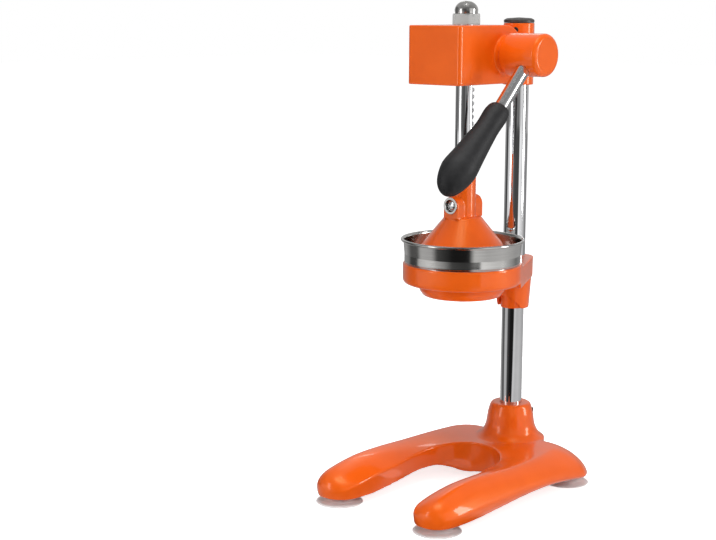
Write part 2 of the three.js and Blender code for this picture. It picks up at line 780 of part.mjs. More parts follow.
function pinion() {
  const tip = gearPitchRadius + gearModule;
  const root = gearPitchRadius - gearModule * (1 + rootClearanceShare);
  const flank = [root, root + gearModule, gearPitchRadius, (gearPitchRadius + tip) / 2, tip];
  const points = [];
  const facing = Math.PI - rackPhase / gearPitchRadius;
  for (let i = 0; i < gearTeeth; i += 1) {
    const middle = facing + i * 2 * Math.PI / gearTeeth;
    const sides = flank.map((radius) => [radius, toothHalfAngle(radius)]);
    for (const [radius, half] of sides) {
      points.push([radius * Math.cos(middle - half), radius * Math.sin(middle - half)]);
    }
    for (const [radius, half] of sides.reverse()) {
      points.push([radius * Math.cos(middle + half), radius * Math.sin(middle + half)]);
    }
  }
  const keyHalf = keyWidth / 2 + fit;
  return cut(acrossX(flatShape(points), -gearWidth / 2, gearWidth / 2),
    lyingX(bar(shaftBoreRadius, -gearWidth, gearWidth, midSides)),
    block(-gearWidth, gearWidth, -keyHalf, keyHalf, 0, shaftRadius + keyWidth / 2 + fit));
}

function pinionShaft() {
  const leftEnd = -leftBossFace - shaftLeftOverhang;
  const rightEnd = hubOuterFace - hubFaceThickness - fit;
  const groove = -leftBossFace - fit;
  const shaft = lyingX(turned([
    [0, leftEnd],
    [shaftRadius - shaftLeftChamfer, leftEnd],
    [shaftRadius, leftEnd + shaftLeftChamfer],
    [shaftRadius, groove - ringGrooveWidth],
    [shaftRadius - ringGrooveDepth, groove - ringGrooveWidth],
    [shaftRadius - ringGrooveDepth, groove],
    [shaftRadius, groove],
    [shaftRadius, rightEnd],
    [0, rightEnd],
  ], midSides));
  const keyHalf = keyWidth / 2 + fit;
  const floor = shaftRadius - keyWidth / 2 - fit;
  const keyEnd = keyLength / 2 + fit;
  return cut(shaft, block(-keyEnd, keyEnd, -keyHalf, keyHalf, floor, shaftRadius + overrun));
}

function retainingRing() {
  const inner = shaftRadius - ringGrooveDepth + fit;
  const right = -leftBossFace - fit * 2;
  const left = right + fit * 2 - ringGrooveWidth;
  const opening = block(-ringRadius - overrun, 0, -inner / 2, inner / 2, left - overrun, right + overrun);
  return lyingX(cut(ring(inner, ringRadius, left, right, midSides), opening));
}

// Hub, lever and grip lie along -Z here, and the group that holds them is turned to the rest angle
function leverHub() {
  const edge = hubOuterEdge;
  const rounded = hubEdgeShares.map((share) => [
    hubRadius - edge + edge * Math.sqrt(1 - share ** 2), hubOuterFace - edge + edge * share,
  ]);
  const body = lyingX(turned([
    [0, hubInnerFace],
    [hubRadius - hubInnerEdge, hubInnerFace],
    [hubRadius, hubInnerFace + hubInnerEdge],
    [hubRadius, hubOuterFace - edge],
    ...rounded,
    [hubRadius - edge, hubOuterFace],
    [0, hubOuterFace],
  ], fineSides));
  return cut(body,
    lyingX(bar(shaftBoreRadius, hubInnerFace - overrun, hubOuterFace - hubFaceThickness, midSides)),
    bar(leverRadius + fit, -hubRadius - overrun, fit - leverSeat, midSides).translate(leverX, 0, 0),
    grubHole(0, hubRadius + overrun).translate(hubOuterFace - hubScrewFromFace, 0, 0));
}

// Of the grip's length, of its radius and of its bulge
const gripStationShares = [
  [0, 0.5, 0],
  [0.012, 0.6, 0.05],
  [0.045, 0.675, 0.1],
  [0.1, 0.71, 0.15],
  [0.24, 0.69, 0.25],
  [0.41, 0.79, 0.48],
  [0.575, 0.9, 0.68],
  [0.7, 1, 0.87],
  [0.765, 0.995, 0.97],
  [0.85, 0.88, 1.04],
  [0.92, 0.71, 1.03],
  [0.965, 0.5, 0.95],
  [0.99, 0.3, 0.9],
  [1, 0.12, 0.88],
];

function grip() {
  const rings = gripStationShares.map(([along, size, bulge]) => {
    const points = [];
    for (let i = 0; i < midSides; i += 1) {
      const angle = -i * 2 * Math.PI / midSides;
      points.push(new THREE.Vector3(
        leverX + size * gripRadius * Math.cos(angle),
        size * gripRadius * Math.sin(angle) - bulge * gripBulge,
        -gripStart - along * gripLength,
      ));
    }
    return points;
  });
  return cut(loft(rings),
    bar(leverRadius + fit, -gripStart - gripHold, overrun - gripStart, midSides).translate(leverX, 0, 0));
}

function addLever(press) {
  const spindle = group(press, 0, shaftY, shaftHeight);
  piece(spindle, 'pinion_gear', plainSteel, pinion());
  piece(spindle, 'pinion_shaft', plainSteel, pinionShaft());
  piece(spindle, 'pinion_key', plainSteel, block(-keyLength / 2, keyLength / 2, -keyWidth / 2, keyWidth / 2,
    shaftRadius - keyWidth / 2, shaftRadius + keyWidth / 2));
  piece(spindle, 'shaft_retaining_ring', blackSteel, retainingRing());
  const handle = group(press, 0, shaftY, shaftHeight);
  handle.rotation.x = -leverAngle;
  piece(handle, 'lever_hub', paint, leverHub());
  piece(handle, 'hub_set_screw', blackSteel,
    grubScrew(shaftRadius + fit, hubRadius - grubStand).translate(hubOuterFace - hubScrewFromFace, 0, 0));
  piece(handle, 'lever_rod', chrome,
    bar(leverRadius, fit - gripStart - gripHold, -leverSeat, midSides).translate(leverX, 0, 0));
  piece(handle, 'lever_grip', blackPlastic, grip());
}

// Plunger: the rack rod, its cap nut and the press cone, round the rod's axis
function rackTool() {
  const crest = rackPitchPlane + gearModule;
  const root = rackPitchPlane - gearModule * (1 + rootClearanceShare);
  const pitch = Math.PI * gearModule;
  const gapHalf = pitch / 4 + backlash / 2;
  const crestHalf = gapHalf + gearModule * Math.tan(pressureAngle);
  const rootHalf = gapHalf - (rackPitchPlane - root) * Math.tan(pressureAngle);
  const middle = shaftHeight + rackPhase;
  const top = middle + (rackGapsAbove + 1 / 2) * pitch;
  const bottom = middle - (rackGapsBelow + 1 / 2) * pitch;
  const points = [[rodRadius + overrun, bottom], [rodRadius + overrun, top], [crest, top]];
  for (let i = rackGapsAbove; i >= -rackGapsBelow; i -= 1) {
    const height = middle + i * pitch;
    points.push([crest, height + crestHalf], [root, height + rootHalf], [root, height - rootHalf],
      [crest, height - crestHalf]);
  }
  points.push([crest, bottom]);
  return acrossX(flatShape(points), -rodRadius - overrun, rodRadius + overrun);
}

function plungerRack() {
  const thread = threadRadius;
  const rod = turned([
    [0, rodEnd],
    [rodRadius, rodEnd],
    [rodRadius, headTop],
    [thread, headTop],
    [thread, headTop + threadLength - fit],
    [0, headTop + threadLength - fit],
  ], midSides);
  return cut(rod, rackTool(),
    lyingY(bar(boltRadius + fit, -rodRadius - overrun, rodRadius + overrun, smallSides))
      .translate(0, 0, coneTop + crossBossHeight));
}

function acornNut() {
  const seat = headTop + fit;
  const shoulder = seat + nutHexHeight;
  const corner = nutFlats / Math.sqrt(3);
  const rounded = turned([
    [0, seat],
    [corner - nutEdge, seat],
    [corner, seat + nutEdge],
    [corner, shoulder - nutEdge * 2],
    [corner - nutEdge * 3, shoulder],
    [0, shoulder],
  ], fineSides);
  const collar = nutDomeHeight * nutCollarShare;
  const dome = nutDomeShares.map((share) => [
    nutDomeRadius * Math.sqrt(1 - share ** 2), shoulder + collar + (nutDomeHeight - collar) * share,
  ]);
  const crown = turned([
    [0, shoulder - nutEdge],
    [nutDomeRadius, shoulder - nutEdge],
    [nutDomeRadius, shoulder + collar],
    ...dome,
    [0, shoulder + nutDomeHeight],
  ], midSides);
  const hex = common(hexPrism(nutFlats, seat - overrun, shoulder + overrun, Math.PI / 12), rounded);
  return cut(join(hex, crown), bar(threadRadius + fit, seat - overrun, headTop + threadLength, midSides));
}

function pressCone() {
  const lipRadius = coneRimRadius - coneLipTuck;
  const roof = coneTop - coneTopThickness;
  const roofRadius = coneTopRadius + coneTopThickness * Math.tan(coneAngle) - coneWall;
  const mouth = coneTop + coneNeckHeight;
  const body = turned([
    [0, coneLip],
    [lipRadius, coneLip],
    [coneRimRadius, coneShoulder],
    [coneTopRadius, coneTop],
    [coneNeckRadius, coneTop],
    [coneNeckRadius, mouth],
    [0, mouth],
  ], fineSides);
  const boltHeight = coneTop + crossBossHeight;
  const half = crossBossHalfLength;
  const bossBar = lyingY(bar(crossBossRadius, -half, half, midSides)).translate(0, 0, boltHeight);
  const bossFoot = block(-crossBossRadius, crossBossRadius, -half, half, coneTop - overrun, boltHeight);
  const rim = coneRimRadius - coneWall;
  const cavity = turned([
    [0, coneLip - overrun],
    [rim, coneLip - overrun],
    [rim, coneShoulder],
    [roofRadius, roof],
    [0, roof],
  ], fineSides);
  const recess = (from, to) => lyingY(bar(boltRecessRadius, from, to, smallSides * 2))
    .translate(0, 0, boltHeight);
  return cut(join(body, bossBar, bossFoot),
    cavity,
    bar(rodRadius + fit, rodEnd - fit, mouth + overrun, midSides),
    lyingY(bar(boltRadius + fit, -half, half, smallSides)).translate(0, 0, boltHeight),
    recess(-half - overrun, boltRecessDepth - half),
    recess(half - boltRecessDepth, half + overrun));
}

// Lies along +Y with its domed head toward -Y
function coneBolt() {
  const head = boltRecessDepth - crossBossHalfLength - fit;
  const end = crossBossHalfLength - overrun;
  return lyingY(turned([
    [0, head - boltHeadHeight],
    ...boltDomeShares.map(([radius, rise]) => [radius * boltHeadRadius, head - rise * boltHeadHeight]),
    [boltHeadRadius, head],
    [boltRadius, head],
    [boltRadius, end],
    [0, end],
  ], smallSides));
}

// Lines the recess round the bolt's head, with its rim on the boss's face
function coneBoltFerrule() {
  const sleeve = boltRecessRadius - fit;
  const bore = sleeve - ferruleWall;
  const seat = -crossBossHalfLength - fit;
  const face = seat - ferruleRimHeight;
  const end = boltRecessDepth - crossBossHalfLength - fit;
  return lyingY(turned([
    [bore, face],
    [sleeve + ferruleRim, face],
    [sleeve + ferruleRim, seat],
    [sleeve, seat],
    [sleeve, end],
    [bore, end],
    [bore, face],
  ], midSides));
}

function coneBoltNut() {
  const seat = crossBossHalfLength - boltRecessDepth + fit;
  return lyingY(cut(hexPrism(boltNutFlats, seat, crossBossHalfLength - overrun),
    bar(boltRadius + fit, seat - overrun, crossBossHalfLength, smallSides)));
}

function addPlunger(press) {
  const plunger = group(press, 0, rodY, 0);
  piece(plunger, 'plunger_rack', chrome, plungerRack());
  piece(plunger, 'acorn_nut', steel, acornNut());
  piece(plunger, 'press_cone', paint, pressCone());
  const bolt = group(plunger, 0, 0, coneTop + crossBossHeight);
  piece(bolt, 'cone_bolt', chrome, coneBolt());
  piece(bolt, 'cone_bolt_ferrule', steel, coneBoltFerrule());
  piece(bolt, 'cone_bolt_nut', plainSteel, coneBoltNut());
}

// Bowl and reamer
function strainerBowl() {
  const seat = ringTop + fit;
  const rim = ringTop + bowlHeight;
  const wellFloor = seat - wellDepth;
  const funnelEnd = wellFloor - funnelDepth;
  const spoutEnd = funnelEnd - spoutLength;
  const bandInner = bowlRadius - sheet;
  const bead = rimDepth / 4;
  return turned([
    [spoutRadius, spoutEnd],
    [spoutTopRadius - sheet, funnelEnd - spoutLength / 2],
    [spoutTopRadius, funnelEnd],
    [wellRadius - sheet * 2, wellFloor],
    [wellRadius, wellFloor + sheet * 2],
    [wellRadius, seat],
    [bowlRadius, seat],
    [bowlRadius, rim - rimDepth - bead],
    [rimRadius, rim - rimDepth + bead],
    [rimRadius, rim - bead],
    [rimRadius - bead, rim],
    [bandInner, rim - bead],
    [bandInner, ledgeTop],
    [wellRadius - sheet, ledgeTop],
    [wellRadius - sheet, wellFloor + sheet * 3],
    [wellRadius - sheet * 3, wellFloor + sheet],
    [spoutTopRadius - sheet / 2, funnelEnd + sheet],
    [spoutTopRadius - sheet * 2, funnelEnd - spoutLength / 2],
    [spoutRadius - sheet, spoutEnd],
    [spoutRadius, spoutEnd],
  ], fineSides);
}

// The dome's outline, of its radius and of its height
const reamerStepShares = [
  [1, 0], [0.95, 0.16], [0.82, 0.28], [0.78, 0.43], [0.65, 0.54], [0.61, 0.68],
  [0.48, 0.79], [0.42, 0.91], [0.25, 0.98],
];

function reamerInsert() {
  const floor = ledgeTop + fit;
  const outside = reamerStepShares.map(([radius, rise]) => [
    radius * reamerRadius, strainerTop + rise * reamerHeight,
  ]);
  const inside = outside.map(([radius, height]) => [radius - sheet, height - sheet]).reverse();
  const insert = turned([
    [strainerRadius, floor],
    [strainerRadius, strainerTop],
    ...outside,
    [0, strainerTop + reamerHeight],
    [0, strainerTop + reamerHeight - sheet],
    ...inside,
    [strainerRadius, floor],
  ], fineSides);
  const circle = reamerRadius + drainsFromReamer;
  const holes = [];
  for (let i = 0; i < drainHoles; i += 1) {
    const angle = i * 2 * Math.PI / drainHoles;
    holes.push(bar(drainRadius, floor - overrun, strainerTop + overrun, smallSides / 2)
      .translate(circle * Math.cos(angle), circle * Math.sin(angle), 0));
  }
  return cut(insert, ...holes);
}

function addBowl(press) {
  const bowl = group(press, 0, rodY, 0);
  piece(bowl, 'strainer_bowl', steel, strainerBowl());
  piece(bowl, 'reamer_insert', steel, reamerInsert());
}

// Bracket: ring and dish round the rod's axis, sleeve round the column, and a web between them
// whose sides touch both
function bowlBracket() {
  const ringFoot = ringTop - ringHeight;
  const dishFoot = ringFoot - dishDepth;
  const innerRadius = ringRadiusOuter - ringWall;
  const cup = turned([
    [dishHoleRadius, dishFoot],
    [dishFootRadius, dishFoot],
    [(dishRadius * 2 + dishFootRadius) / 3, dishFoot + dishDepth / 3],
    [dishRadius, ringFoot - dishDepth / 4],
    [ringRadiusOuter - dishWall / 2, ringFoot],
    [ringRadiusOuter, ringFoot + dishWall],
    [ringRadiusOuter, ringTop],
    [innerRadius, ringTop],
    [innerRadius, ringFoot + dishWall * 3 / 2],
    [dishRadius - dishWall, ringFoot],
    [dishFootRadius - dishWall, dishFoot + dishWall],
    [dishHoleRadius, dishFoot + dishWall],
    [dishHoleRadius, dishFoot],
  ], fineSides);
  const sleeveTop = ringTop - sleeveBelowRingTop;
  const sleeveFoot = sleeveTop - sleeveLength;
  const sleeve = turned([
    [0, sleeveFoot],
    [sleeveFootRadius, sleeveFoot],
    [sleeveTopRadius, sleeveTop],
    [0, sleeveTop],
  ], fineSides).translate(0, throat, 0);
  const lean = (ringRadiusOuter - sleeveTopRadius) / throat;
  const [atRing, atSleeve] = [[ringRadiusOuter, 0], [sleeveTopRadius, throat]]
    .map(([radius, y]) => [radius * Math.sqrt(1 - lean ** 2), y + radius * lean]);
  const outline = [atRing, atSleeve, ...[atSleeve, atRing].map(([x, y]) => [-x, y])];
  const web = cut(upright(flatShape(outline), sleeveTop - webHeight, sleeveTop),
    bar(ringRadiusOuter - ringWall / 2, sleeveFoot, ringTop + overrun, fineSides));
  const arch = lyingY(bar(archRadius, -sleeveTopRadius, 0, midSides))
    .translate(0, throat, sleeveFoot - archDrop);
  const tube = bar(sleeveTubeRadius, sleeveFoot, sleeveTop, midSides).translate(0, throat, 0);
  return cut(join(cup, sleeve, web),
    cut(arch, tube),
    bar(columnRadius + fit, sleeveFoot - overrun, sleeveTop + overrun, midSides).translate(0, throat, 0),
    outward(grubHole(0, sleeveTopRadius + overrun), bracketScrewAzimuth)
      .translate(0, throat, sleeveTop - sleeveLength / 2));
}

function addBracket(press) {
  const bracket = group(press, 0, rodY, 0);
  piece(bracket, 'bowl_bracket', paint, bowlBracket());
  const outer = (sleeveTopRadius + sleeveFootRadius) / 2 + grubStand;
  const screwHeight = ringTop - sleeveBelowRingTop - sleeveLength / 2;
  piece(group(bracket, 0, throat, screwHeight), 'bracket_set_screw', blackSteel,
    outward(grubScrew(columnRadius + fit, outer), bracketScrewAzimuth));
}

const press = new THREE.Group();
addBase(press);
addColumn(press);
addHead(press);
addLever(press);
addPlunger(press);
addBowl(press);
addBracket(press);

export default press;
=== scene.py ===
"""The looks of a lever citrus press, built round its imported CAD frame.

Shapes are worked out in millimetres, in the frame's own axes: +X is the lever's side, -Y the
front and +Z up. They become metres where a mesh is made.
"""
import math

import bpy
import bmesh
import numpy as np
from mathutils import Matrix, Vector

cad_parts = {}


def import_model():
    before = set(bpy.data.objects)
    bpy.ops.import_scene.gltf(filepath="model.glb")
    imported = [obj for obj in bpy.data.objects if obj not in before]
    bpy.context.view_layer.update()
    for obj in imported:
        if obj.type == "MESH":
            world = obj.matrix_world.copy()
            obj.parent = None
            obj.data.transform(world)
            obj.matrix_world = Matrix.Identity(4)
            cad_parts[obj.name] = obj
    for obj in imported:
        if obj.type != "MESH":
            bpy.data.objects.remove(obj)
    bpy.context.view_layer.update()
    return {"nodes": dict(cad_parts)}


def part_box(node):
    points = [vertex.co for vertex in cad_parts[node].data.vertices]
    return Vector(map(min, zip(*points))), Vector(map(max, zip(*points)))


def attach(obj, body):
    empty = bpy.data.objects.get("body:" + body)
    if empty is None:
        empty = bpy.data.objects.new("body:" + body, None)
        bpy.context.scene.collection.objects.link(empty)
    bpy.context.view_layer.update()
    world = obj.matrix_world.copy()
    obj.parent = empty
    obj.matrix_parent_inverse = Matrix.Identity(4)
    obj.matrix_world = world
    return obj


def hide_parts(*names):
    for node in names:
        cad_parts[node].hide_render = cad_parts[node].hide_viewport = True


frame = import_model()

METRES_PER_MM = 0.001
ROUND_SIDES = 128
MIDDLE_SIDES = 96
SMALL_SIDES = 48
OVERRUN = 1.0  # how far a cut runs past the face that it opens
FIT = 0.3  # gap left between two pieces that touch
EDGE = 0.3  # radius of a plain machined edge
FINE_EDGE = 0.2
SOFT_EDGE = 0.5


# Places from the frame

def low(node):
    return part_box(node)[0] / METRES_PER_MM


def high(node):
    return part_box(node)[1] / METRES_PER_MM


def span(node, axis):
    """Where a node starts and ends along an axis."""
    return getattr(low(node), axis), getattr(high(node), axis)


def middle(node):
    return (low(node) + high(node)) / 2


def size(node):
    return high(node) - low(node)


COLUMN = middle("column_tube")
ROD = middle("plunger_rack")
SHAFT = middle("shaft_bush_right")
COLUMN_RADIUS = size("column_tube").x / 2
ON_COLUMN = (0, COLUMN.y, 0)
ON_ROD = (0, ROD.y, 0)
ON_SHAFT = (0, SHAFT.y, SHAFT.z)


# Outlines

def rounded(corners, steps=6):
    """Corners are (u, v) or (u, v, radius). A corner with a radius becomes an arc."""
    points = []
    count = len(corners)
    for i, corner in enumerate(corners):
        at = Vector(corner[:2])
        radius = corner[2] if len(corner) > 2 else 0
        if radius == 0:
            points.append(tuple(at))
            continue
        to_last = Vector(corners[i - 1][:2]) - at
        to_next = Vector(corners[(i + 1) % count][:2]) - at
        angle = to_last.angle(to_next)
        reach = min(radius / math.tan(angle / 2), to_last.length / 2, to_next.length / 2)
        start, end = at + to_last.normalized() * reach, at + to_next.normalized() * reach
        inward = (to_last.normalized() + to_next.normalized()).normalized()
        centre = at + inward * (reach / math.cos(angle / 2))
        turn = math.pi - angle
        side = 1 if (start - centre).cross(end - centre) > 0 else -1
        for k in range(steps + 1):
            spoke = (start - centre).copy()
            spoke.rotate(Matrix.Rotation(side * turn * k / steps, 2))
            points.append(tuple(centre + spoke))
    return points


def smooth_line(points, steps=6):
    """A Catmull-Rom curve through points, which may have any number of parts."""
    rows = np.array(points, float)
    padded = np.vstack([rows[:1], rows, rows[-1:]])
    found = []
    for i in range(len(rows) - 1):
        p0, p1, p2, p3 = padded[i:i + 4]
        for t in np.linspace(0, 1, steps, endpoint=False):
            v0, v1 = (p2 - p0) / 2, (p3 - p1) / 2
            found.append(p1 + v0 * t + (3 * (p2 - p1) - 2 * v0 - v1) * t ** 2
                         + (2 * (p1 - p2) + v0 + v1) * t ** 3)
    return found + [rows[-1]]


def arc(centre, radius, start, end, steps):
    """Points on a circle, between two angles in degrees."""
    angles = [math.radians(start + (end - start) * i / steps) for i in range(steps + 1)]
    return [(centre[0] + radius * math.cos(a), centre[1] + radius * math.sin(a)) for a in angles]


def spokes(count, turn=0.0):
    """Unit vectors round a circle."""
    return [(math.cos(a), math.sin(a)) for a in (turn + 2 * math.pi * i / count for i in range(count))]


def hexagon(corner, turn=0.0):
    return [(corner * c, corner * s) for c, s in spokes(6, turn)]


# Solids

UPRIGHT = Matrix.Identity(4)
ALONG_X = Matrix.Rotation(math.pi / 2, 4, "Y")
ALONG_Y = Matrix.Rotation(-math.pi / 2, 4, "X")


def linked(name, data):
    made = bpy.data.objects.new(name, data)
    bpy.context.scene.collection.objects.link(made)
    return made


def solid(vertices, faces, place=(0, 0, 0), turn=UPRIGHT):
    mesh = bpy.data.meshes.new("solid")
    move = Matrix.Translation(place) @ turn
    mesh.from_pydata([move @ Vector(v) * METRES_PER_MM for v in vertices], [], faces)
    tidy = bmesh.new()
    tidy.from_mesh(mesh)
    bmesh.ops.remove_doubles(tidy, verts=tidy.verts, dist=METRES_PER_MM / 1000)
    bmesh.ops.recalc_face_normals(tidy, faces=tidy.faces)
    tidy.to_mesh(mesh)
    tidy.free()
    return linked("solid", mesh)


def turned(profile, sides=ROUND_SIDES, place=(0, 0, 0), turn=UPRIGHT):
    """A body of revolution. Its profile of (radius, height) ends on the axis or closes on itself."""
    round_about = spokes(sides)
    vertices = [(r * c, r * s, z) for r, z in profile for c, s in round_about]
    faces = []
    for i in range(len(profile) - 1):
        for j in range(sides):
            k = (j + 1) % sides
            faces.append((i * sides + j, i * sides + k, (i + 1) * sides + k, (i + 1) * sides + j))
    return solid(vertices, faces, place, turn)


def bar(radius, start, end, sides=ROUND_SIDES, place=(0, 0, 0), turn=UPRIGHT):
    return turned([(0, start), (radius, start), (radius, end), (0, end)], sides, place, turn)


def ring(inner, outer, start, end, edge=EDGE, sides=ROUND_SIDES, place=(0, 0, 0), turn=UPRIGHT):
    corners = [(inner, start, edge), (outer, start, edge), (outer, end, edge), (inner, end, edge)]
    outline = rounded(corners, steps=2)
    return turned(outline + outline[:1], sides, place, turn)


def block(corner, opposite):
    (x0, y0, z0), (x1, y1, z1) = corner, opposite
    vertices = [(x, y, z) for x in (x0, x1) for y in (y0, y1) for z in (z0, z1)]
    faces = [(0, 1, 3, 2), (4, 6, 7, 5), (0, 4, 5, 1), (2, 3, 7, 6), (0, 2, 6, 4), (1, 5, 7, 3)]
    return solid(vertices, faces)


def extruded(outline, start, end, place=(0, 0, 0), turn=UPRIGHT):
    count = len(outline)
    vertices = [(u, v, h) for h in (start, end) for u, v in outline]
    faces = [tuple(range(count))[::-1], tuple(range(count, 2 * count))]
    faces += [(i, (i + 1) % count, count + (i + 1) % count, count + i) for i in range(count)]
    return solid(vertices, faces, place, turn)


def lofted(rings):
    """Joins rings of equally many points and closes both ends."""
    count = len(rings[0])
    vertices = [tuple(p) for points in rings for p in points]
    faces = []
    for i in range(len(rings) - 1):
        for j in range(count):
            k = (j + 1) % count
            faces.append((i * count + j, i * count + k, (i + 1) * count + k, (i + 1) * count + j))
    faces.append(tuple(range(count))[::-1])
    faces.append(tuple(range(len(vertices) - count, len(vertices))))
    return solid(vertices, faces)


# An outline drawn in (y, z) and run along x
Y_Z_ALONG_X = Matrix(((0, 0, 1, 0), (1, 0, 0, 0), (0, 1, 0, 0), (0, 0, 0, 1)))


def apply_modifiers(made):
    graph = bpy.context.evaluated_depsgraph_get()
    mesh = bpy.data.meshes.new_from_object(made.evaluated_get(graph))
    made.modifiers.clear()
    made.data = mesh
    return made


def combined(made, operation, others):
    for other in others:
        modifier = made.modifiers.new("combine", "BOOLEAN")
        modifier.operation = operation
        modifier.solver = "MANIFOLD"
        modifier.object = other
        apply_modifiers(made)
        bpy.data.objects.remove(other)
    return made


def joined(made, *others):
    return combined(made, "UNION", others)


def cut(made, *others):
    return combined(made, "DIFFERENCE", others)


def common(made, *others):
    return combined(made, "INTERSECT", others)


def cast(made, voxel, passes):
    """Melts the joins of a solid into fillets, as a casting has them."""
    remesh = made.modifiers.new("remesh", "REMESH")
    remesh.mode = "VOXEL"
    remesh.voxel_size = voxel * METRES_PER_MM
    soften = made.modifiers.new("soften", "SMOOTH")
    soften.factor = 0.5
    soften.iterations = passes
    return apply_modifiers(made)


def softened(made, width, segments=3, angle=35):
    """Rounds the sharp edges of a solid."""
    bevel = made.modifiers.new("bevel", "BEVEL")
    bevel.width = width * METRES_PER_MM
    bevel.segments = segments
    bevel.limit_method = "ANGLE"
    bevel.angle_limit = math.radians(angle)
    return apply_modifiers(made)


PLAIN_SHARP = 35
CAST_SHARP = 50  # a casting's smoothed edges stay unbroken up to this angle


def piece(made, node, body, slot, sharp=PLAIN_SHARP):
    """Finishes a piece: smooth shading, its material, and its place in the frame."""
    made.name = f"{node}_fine"
    made.data.shade_smooth()
    made.data.set_sharp_from_angle(angle=math.radians(sharp))
    weigh = made.modifiers.new("weigh", "WEIGHTED_NORMAL")  # keeps long walls beside small bevels true
    weigh.keep_sharp = True
    apply_modifiers(made)
    made.data.name = made.name
    made.data.materials.clear()
    made.data.materials.append(MATERIALS[slot])
    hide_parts(node)
    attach(made, body)
    return made


# Materials

def add(tree, kind, **values):
    """A shader node, with values on its own sockets."""
    made = tree.nodes.new(f"ShaderNode{kind}")
    for socket, value in values.items():
        made.inputs[socket.replace("_", " ")].default_value = value
    return made


def shader(name, colour, roughness, metallic=0.0, **sockets):
    made = bpy.data.materials.new(name)
    made.use_nodes = True
    surface = made.node_tree.nodes["Principled BSDF"]
    surface.inputs["Base Color"].default_value = (*colour, 1)
    surface.inputs["Roughness"].default_value = roughness
    surface.inputs["Metallic"].default_value = metallic
    for socket, value in sockets.items():
        surface.inputs[socket.replace("_", " ")].default_value = value
    return made, made.node_tree, surface


NOISE_DETAIL = 3.0
RAMP_ENDS = (0.3, 0.7)  # where noise, which keeps near its middle, reaches the two colours


EVEN = (1, 1, 1)
TURNED = (0.02, 0.02, 1)  # draws noise out into rings, as turning leaves them


def noise(tree, scale, stretch):
    """Noise in the piece's own metres; scale is in waves per metre."""
    place, mapping = add(tree, "TexCoord"), add(tree, "Mapping", Scale=stretch)
    texture = add(tree, "TexNoise", Scale=scale, Detail=NOISE_DETAIL)
    tree.links.new(place.outputs["Object"], mapping.inputs["Vector"])
    tree.links.new(mapping.outputs["Vector"], texture.inputs["Vector"])
    return texture.outputs["Fac"]


def vary_colour(tree, surface, scale, darker, lighter, stretch=EVEN):
    ramp = add(tree, "ValToRGB")
    for stop, position, colour in zip(ramp.color_ramp.elements, RAMP_ENDS, (darker, lighter)):
        stop.position = position
        stop.color = (*colour, 1)
    tree.links.new(noise(tree, scale, stretch), ramp.inputs["Fac"])
    tree.links.new(ramp.outputs["Color"], surface.inputs["Base Color"])


def vary_roughness(tree, surface, scale, least, most, stretch=EVEN):
    spread = add(tree, "MapRange", To_Min=least, To_Max=most)
    tree.links.new(noise(tree, scale, stretch), spread.inputs["Value"])
    tree.links.new(spread.outputs["Result"], surface.inputs["Roughness"])


def bump(tree, surface, scale, height, stretch=EVEN):
    made = add(tree, "Bump", Strength=1.0, Distance=height * METRES_PER_MM)
    tree.links.new(noise(tree, scale, stretch), made.inputs["Height"])
    tree.links.new(made.outputs["Normal"], surface.inputs["Normal"])


MATERIALS = {}


def finish(slot, colour, roughness, metallic, tones, glosses, grain, **sockets):
    """A material that noise varies, by what vary_colour, vary_roughness and bump take."""
    MATERIALS[slot], tree, surface = shader(slot, colour, roughness, metallic, **sockets)
    vary_colour(tree, surface, *tones)
    vary_roughness(tree, surface, *glosses)
    bump(tree, surface, *grain)


finish("orange_paint", (0.86, 0.112, 0.002), 0.3, 0.0, (25, (0.84, 0.106, 0.002), (0.89, 0.118, 0.003)),
       (60, 0.26, 0.34), (420, 0.006), Coat_Weight=0.75, Coat_Roughness=0.05, Specular_IOR_Level=0.6,
       Specular_Tint=(1.0, 0.6, 0.22, 1))
finish("chrome", (0.86, 0.86, 0.87), 0.05, 1.0, (30, (0.82, 0.82, 0.83), (0.90, 0.90, 0.91)),
       (80, 0.03, 0.09), (60, 0.001, (1, 1, 0.1)))
finish("stainless", (0.66, 0.65, 0.64), 0.2, 1.0, (700, (0.66, 0.65, 0.63), (0.73, 0.72, 0.70), TURNED),
       (400, 0.10, 0.17, TURNED), (1200, 0.0004, (0.01, 0.01, 1)))
finish("plain_steel", (0.50, 0.50, 0.50), 0.32, 1.0, (120, (0.42, 0.42, 0.42), (0.56, 0.56, 0.56)),
       (300, 0.25, 0.4), (2500, 0.003))
finish("bronze", (0.56, 0.36, 0.16), 0.38, 1.0, (400, (0.46, 0.28, 0.12), (0.62, 0.41, 0.20)),
       (600, 0.3, 0.5), (3000, 0.006))
finish("black_steel", (0.025, 0.025, 0.025), 0.4, 0.3, (300, (0.018, 0.018, 0.018), (0.035, 0.035, 0.035)),
       (500, 0.32, 0.5), (2000, 0.004))
finish("black_plastic", (0.016, 0.016, 0.017), 0.5, 0.0,
       (150, (0.013, 0.013, 0.014), (0.019, 0.019, 0.020)), (350, 0.46, 0.56), (1600, 0.010),
       Specular_IOR_Level=0.3)
finish("grey_plastic", (0.045, 0.040, 0.038), 0.42, 0.0,
       (200, (0.038, 0.034, 0.032), (0.055, 0.048, 0.045)), (300, 0.36, 0.5), (1500, 0.012))
finish("silicone", (0.82, 0.81, 0.81), 0.42, 0.0, (60, (0.79, 0.78, 0.78), (0.86, 0.85, 0.85)),
       (200, 0.34, 0.46), (900, 0.01), IOR=1.41, Subsurface_Weight=0.4,
       Subsurface_Radius=(0.006, 0.006, 0.006), Subsurface_Scale=1.0)


# Base casting

BASE_HALF_WIDTH = 105.0
BASE_HALF_LENGTH = 153.0
LEG_HEIGHT = 50.0
BASE_WALL = 6.0
BASE_VOXEL = 1.1
BASE_CAST_PASSES = 10
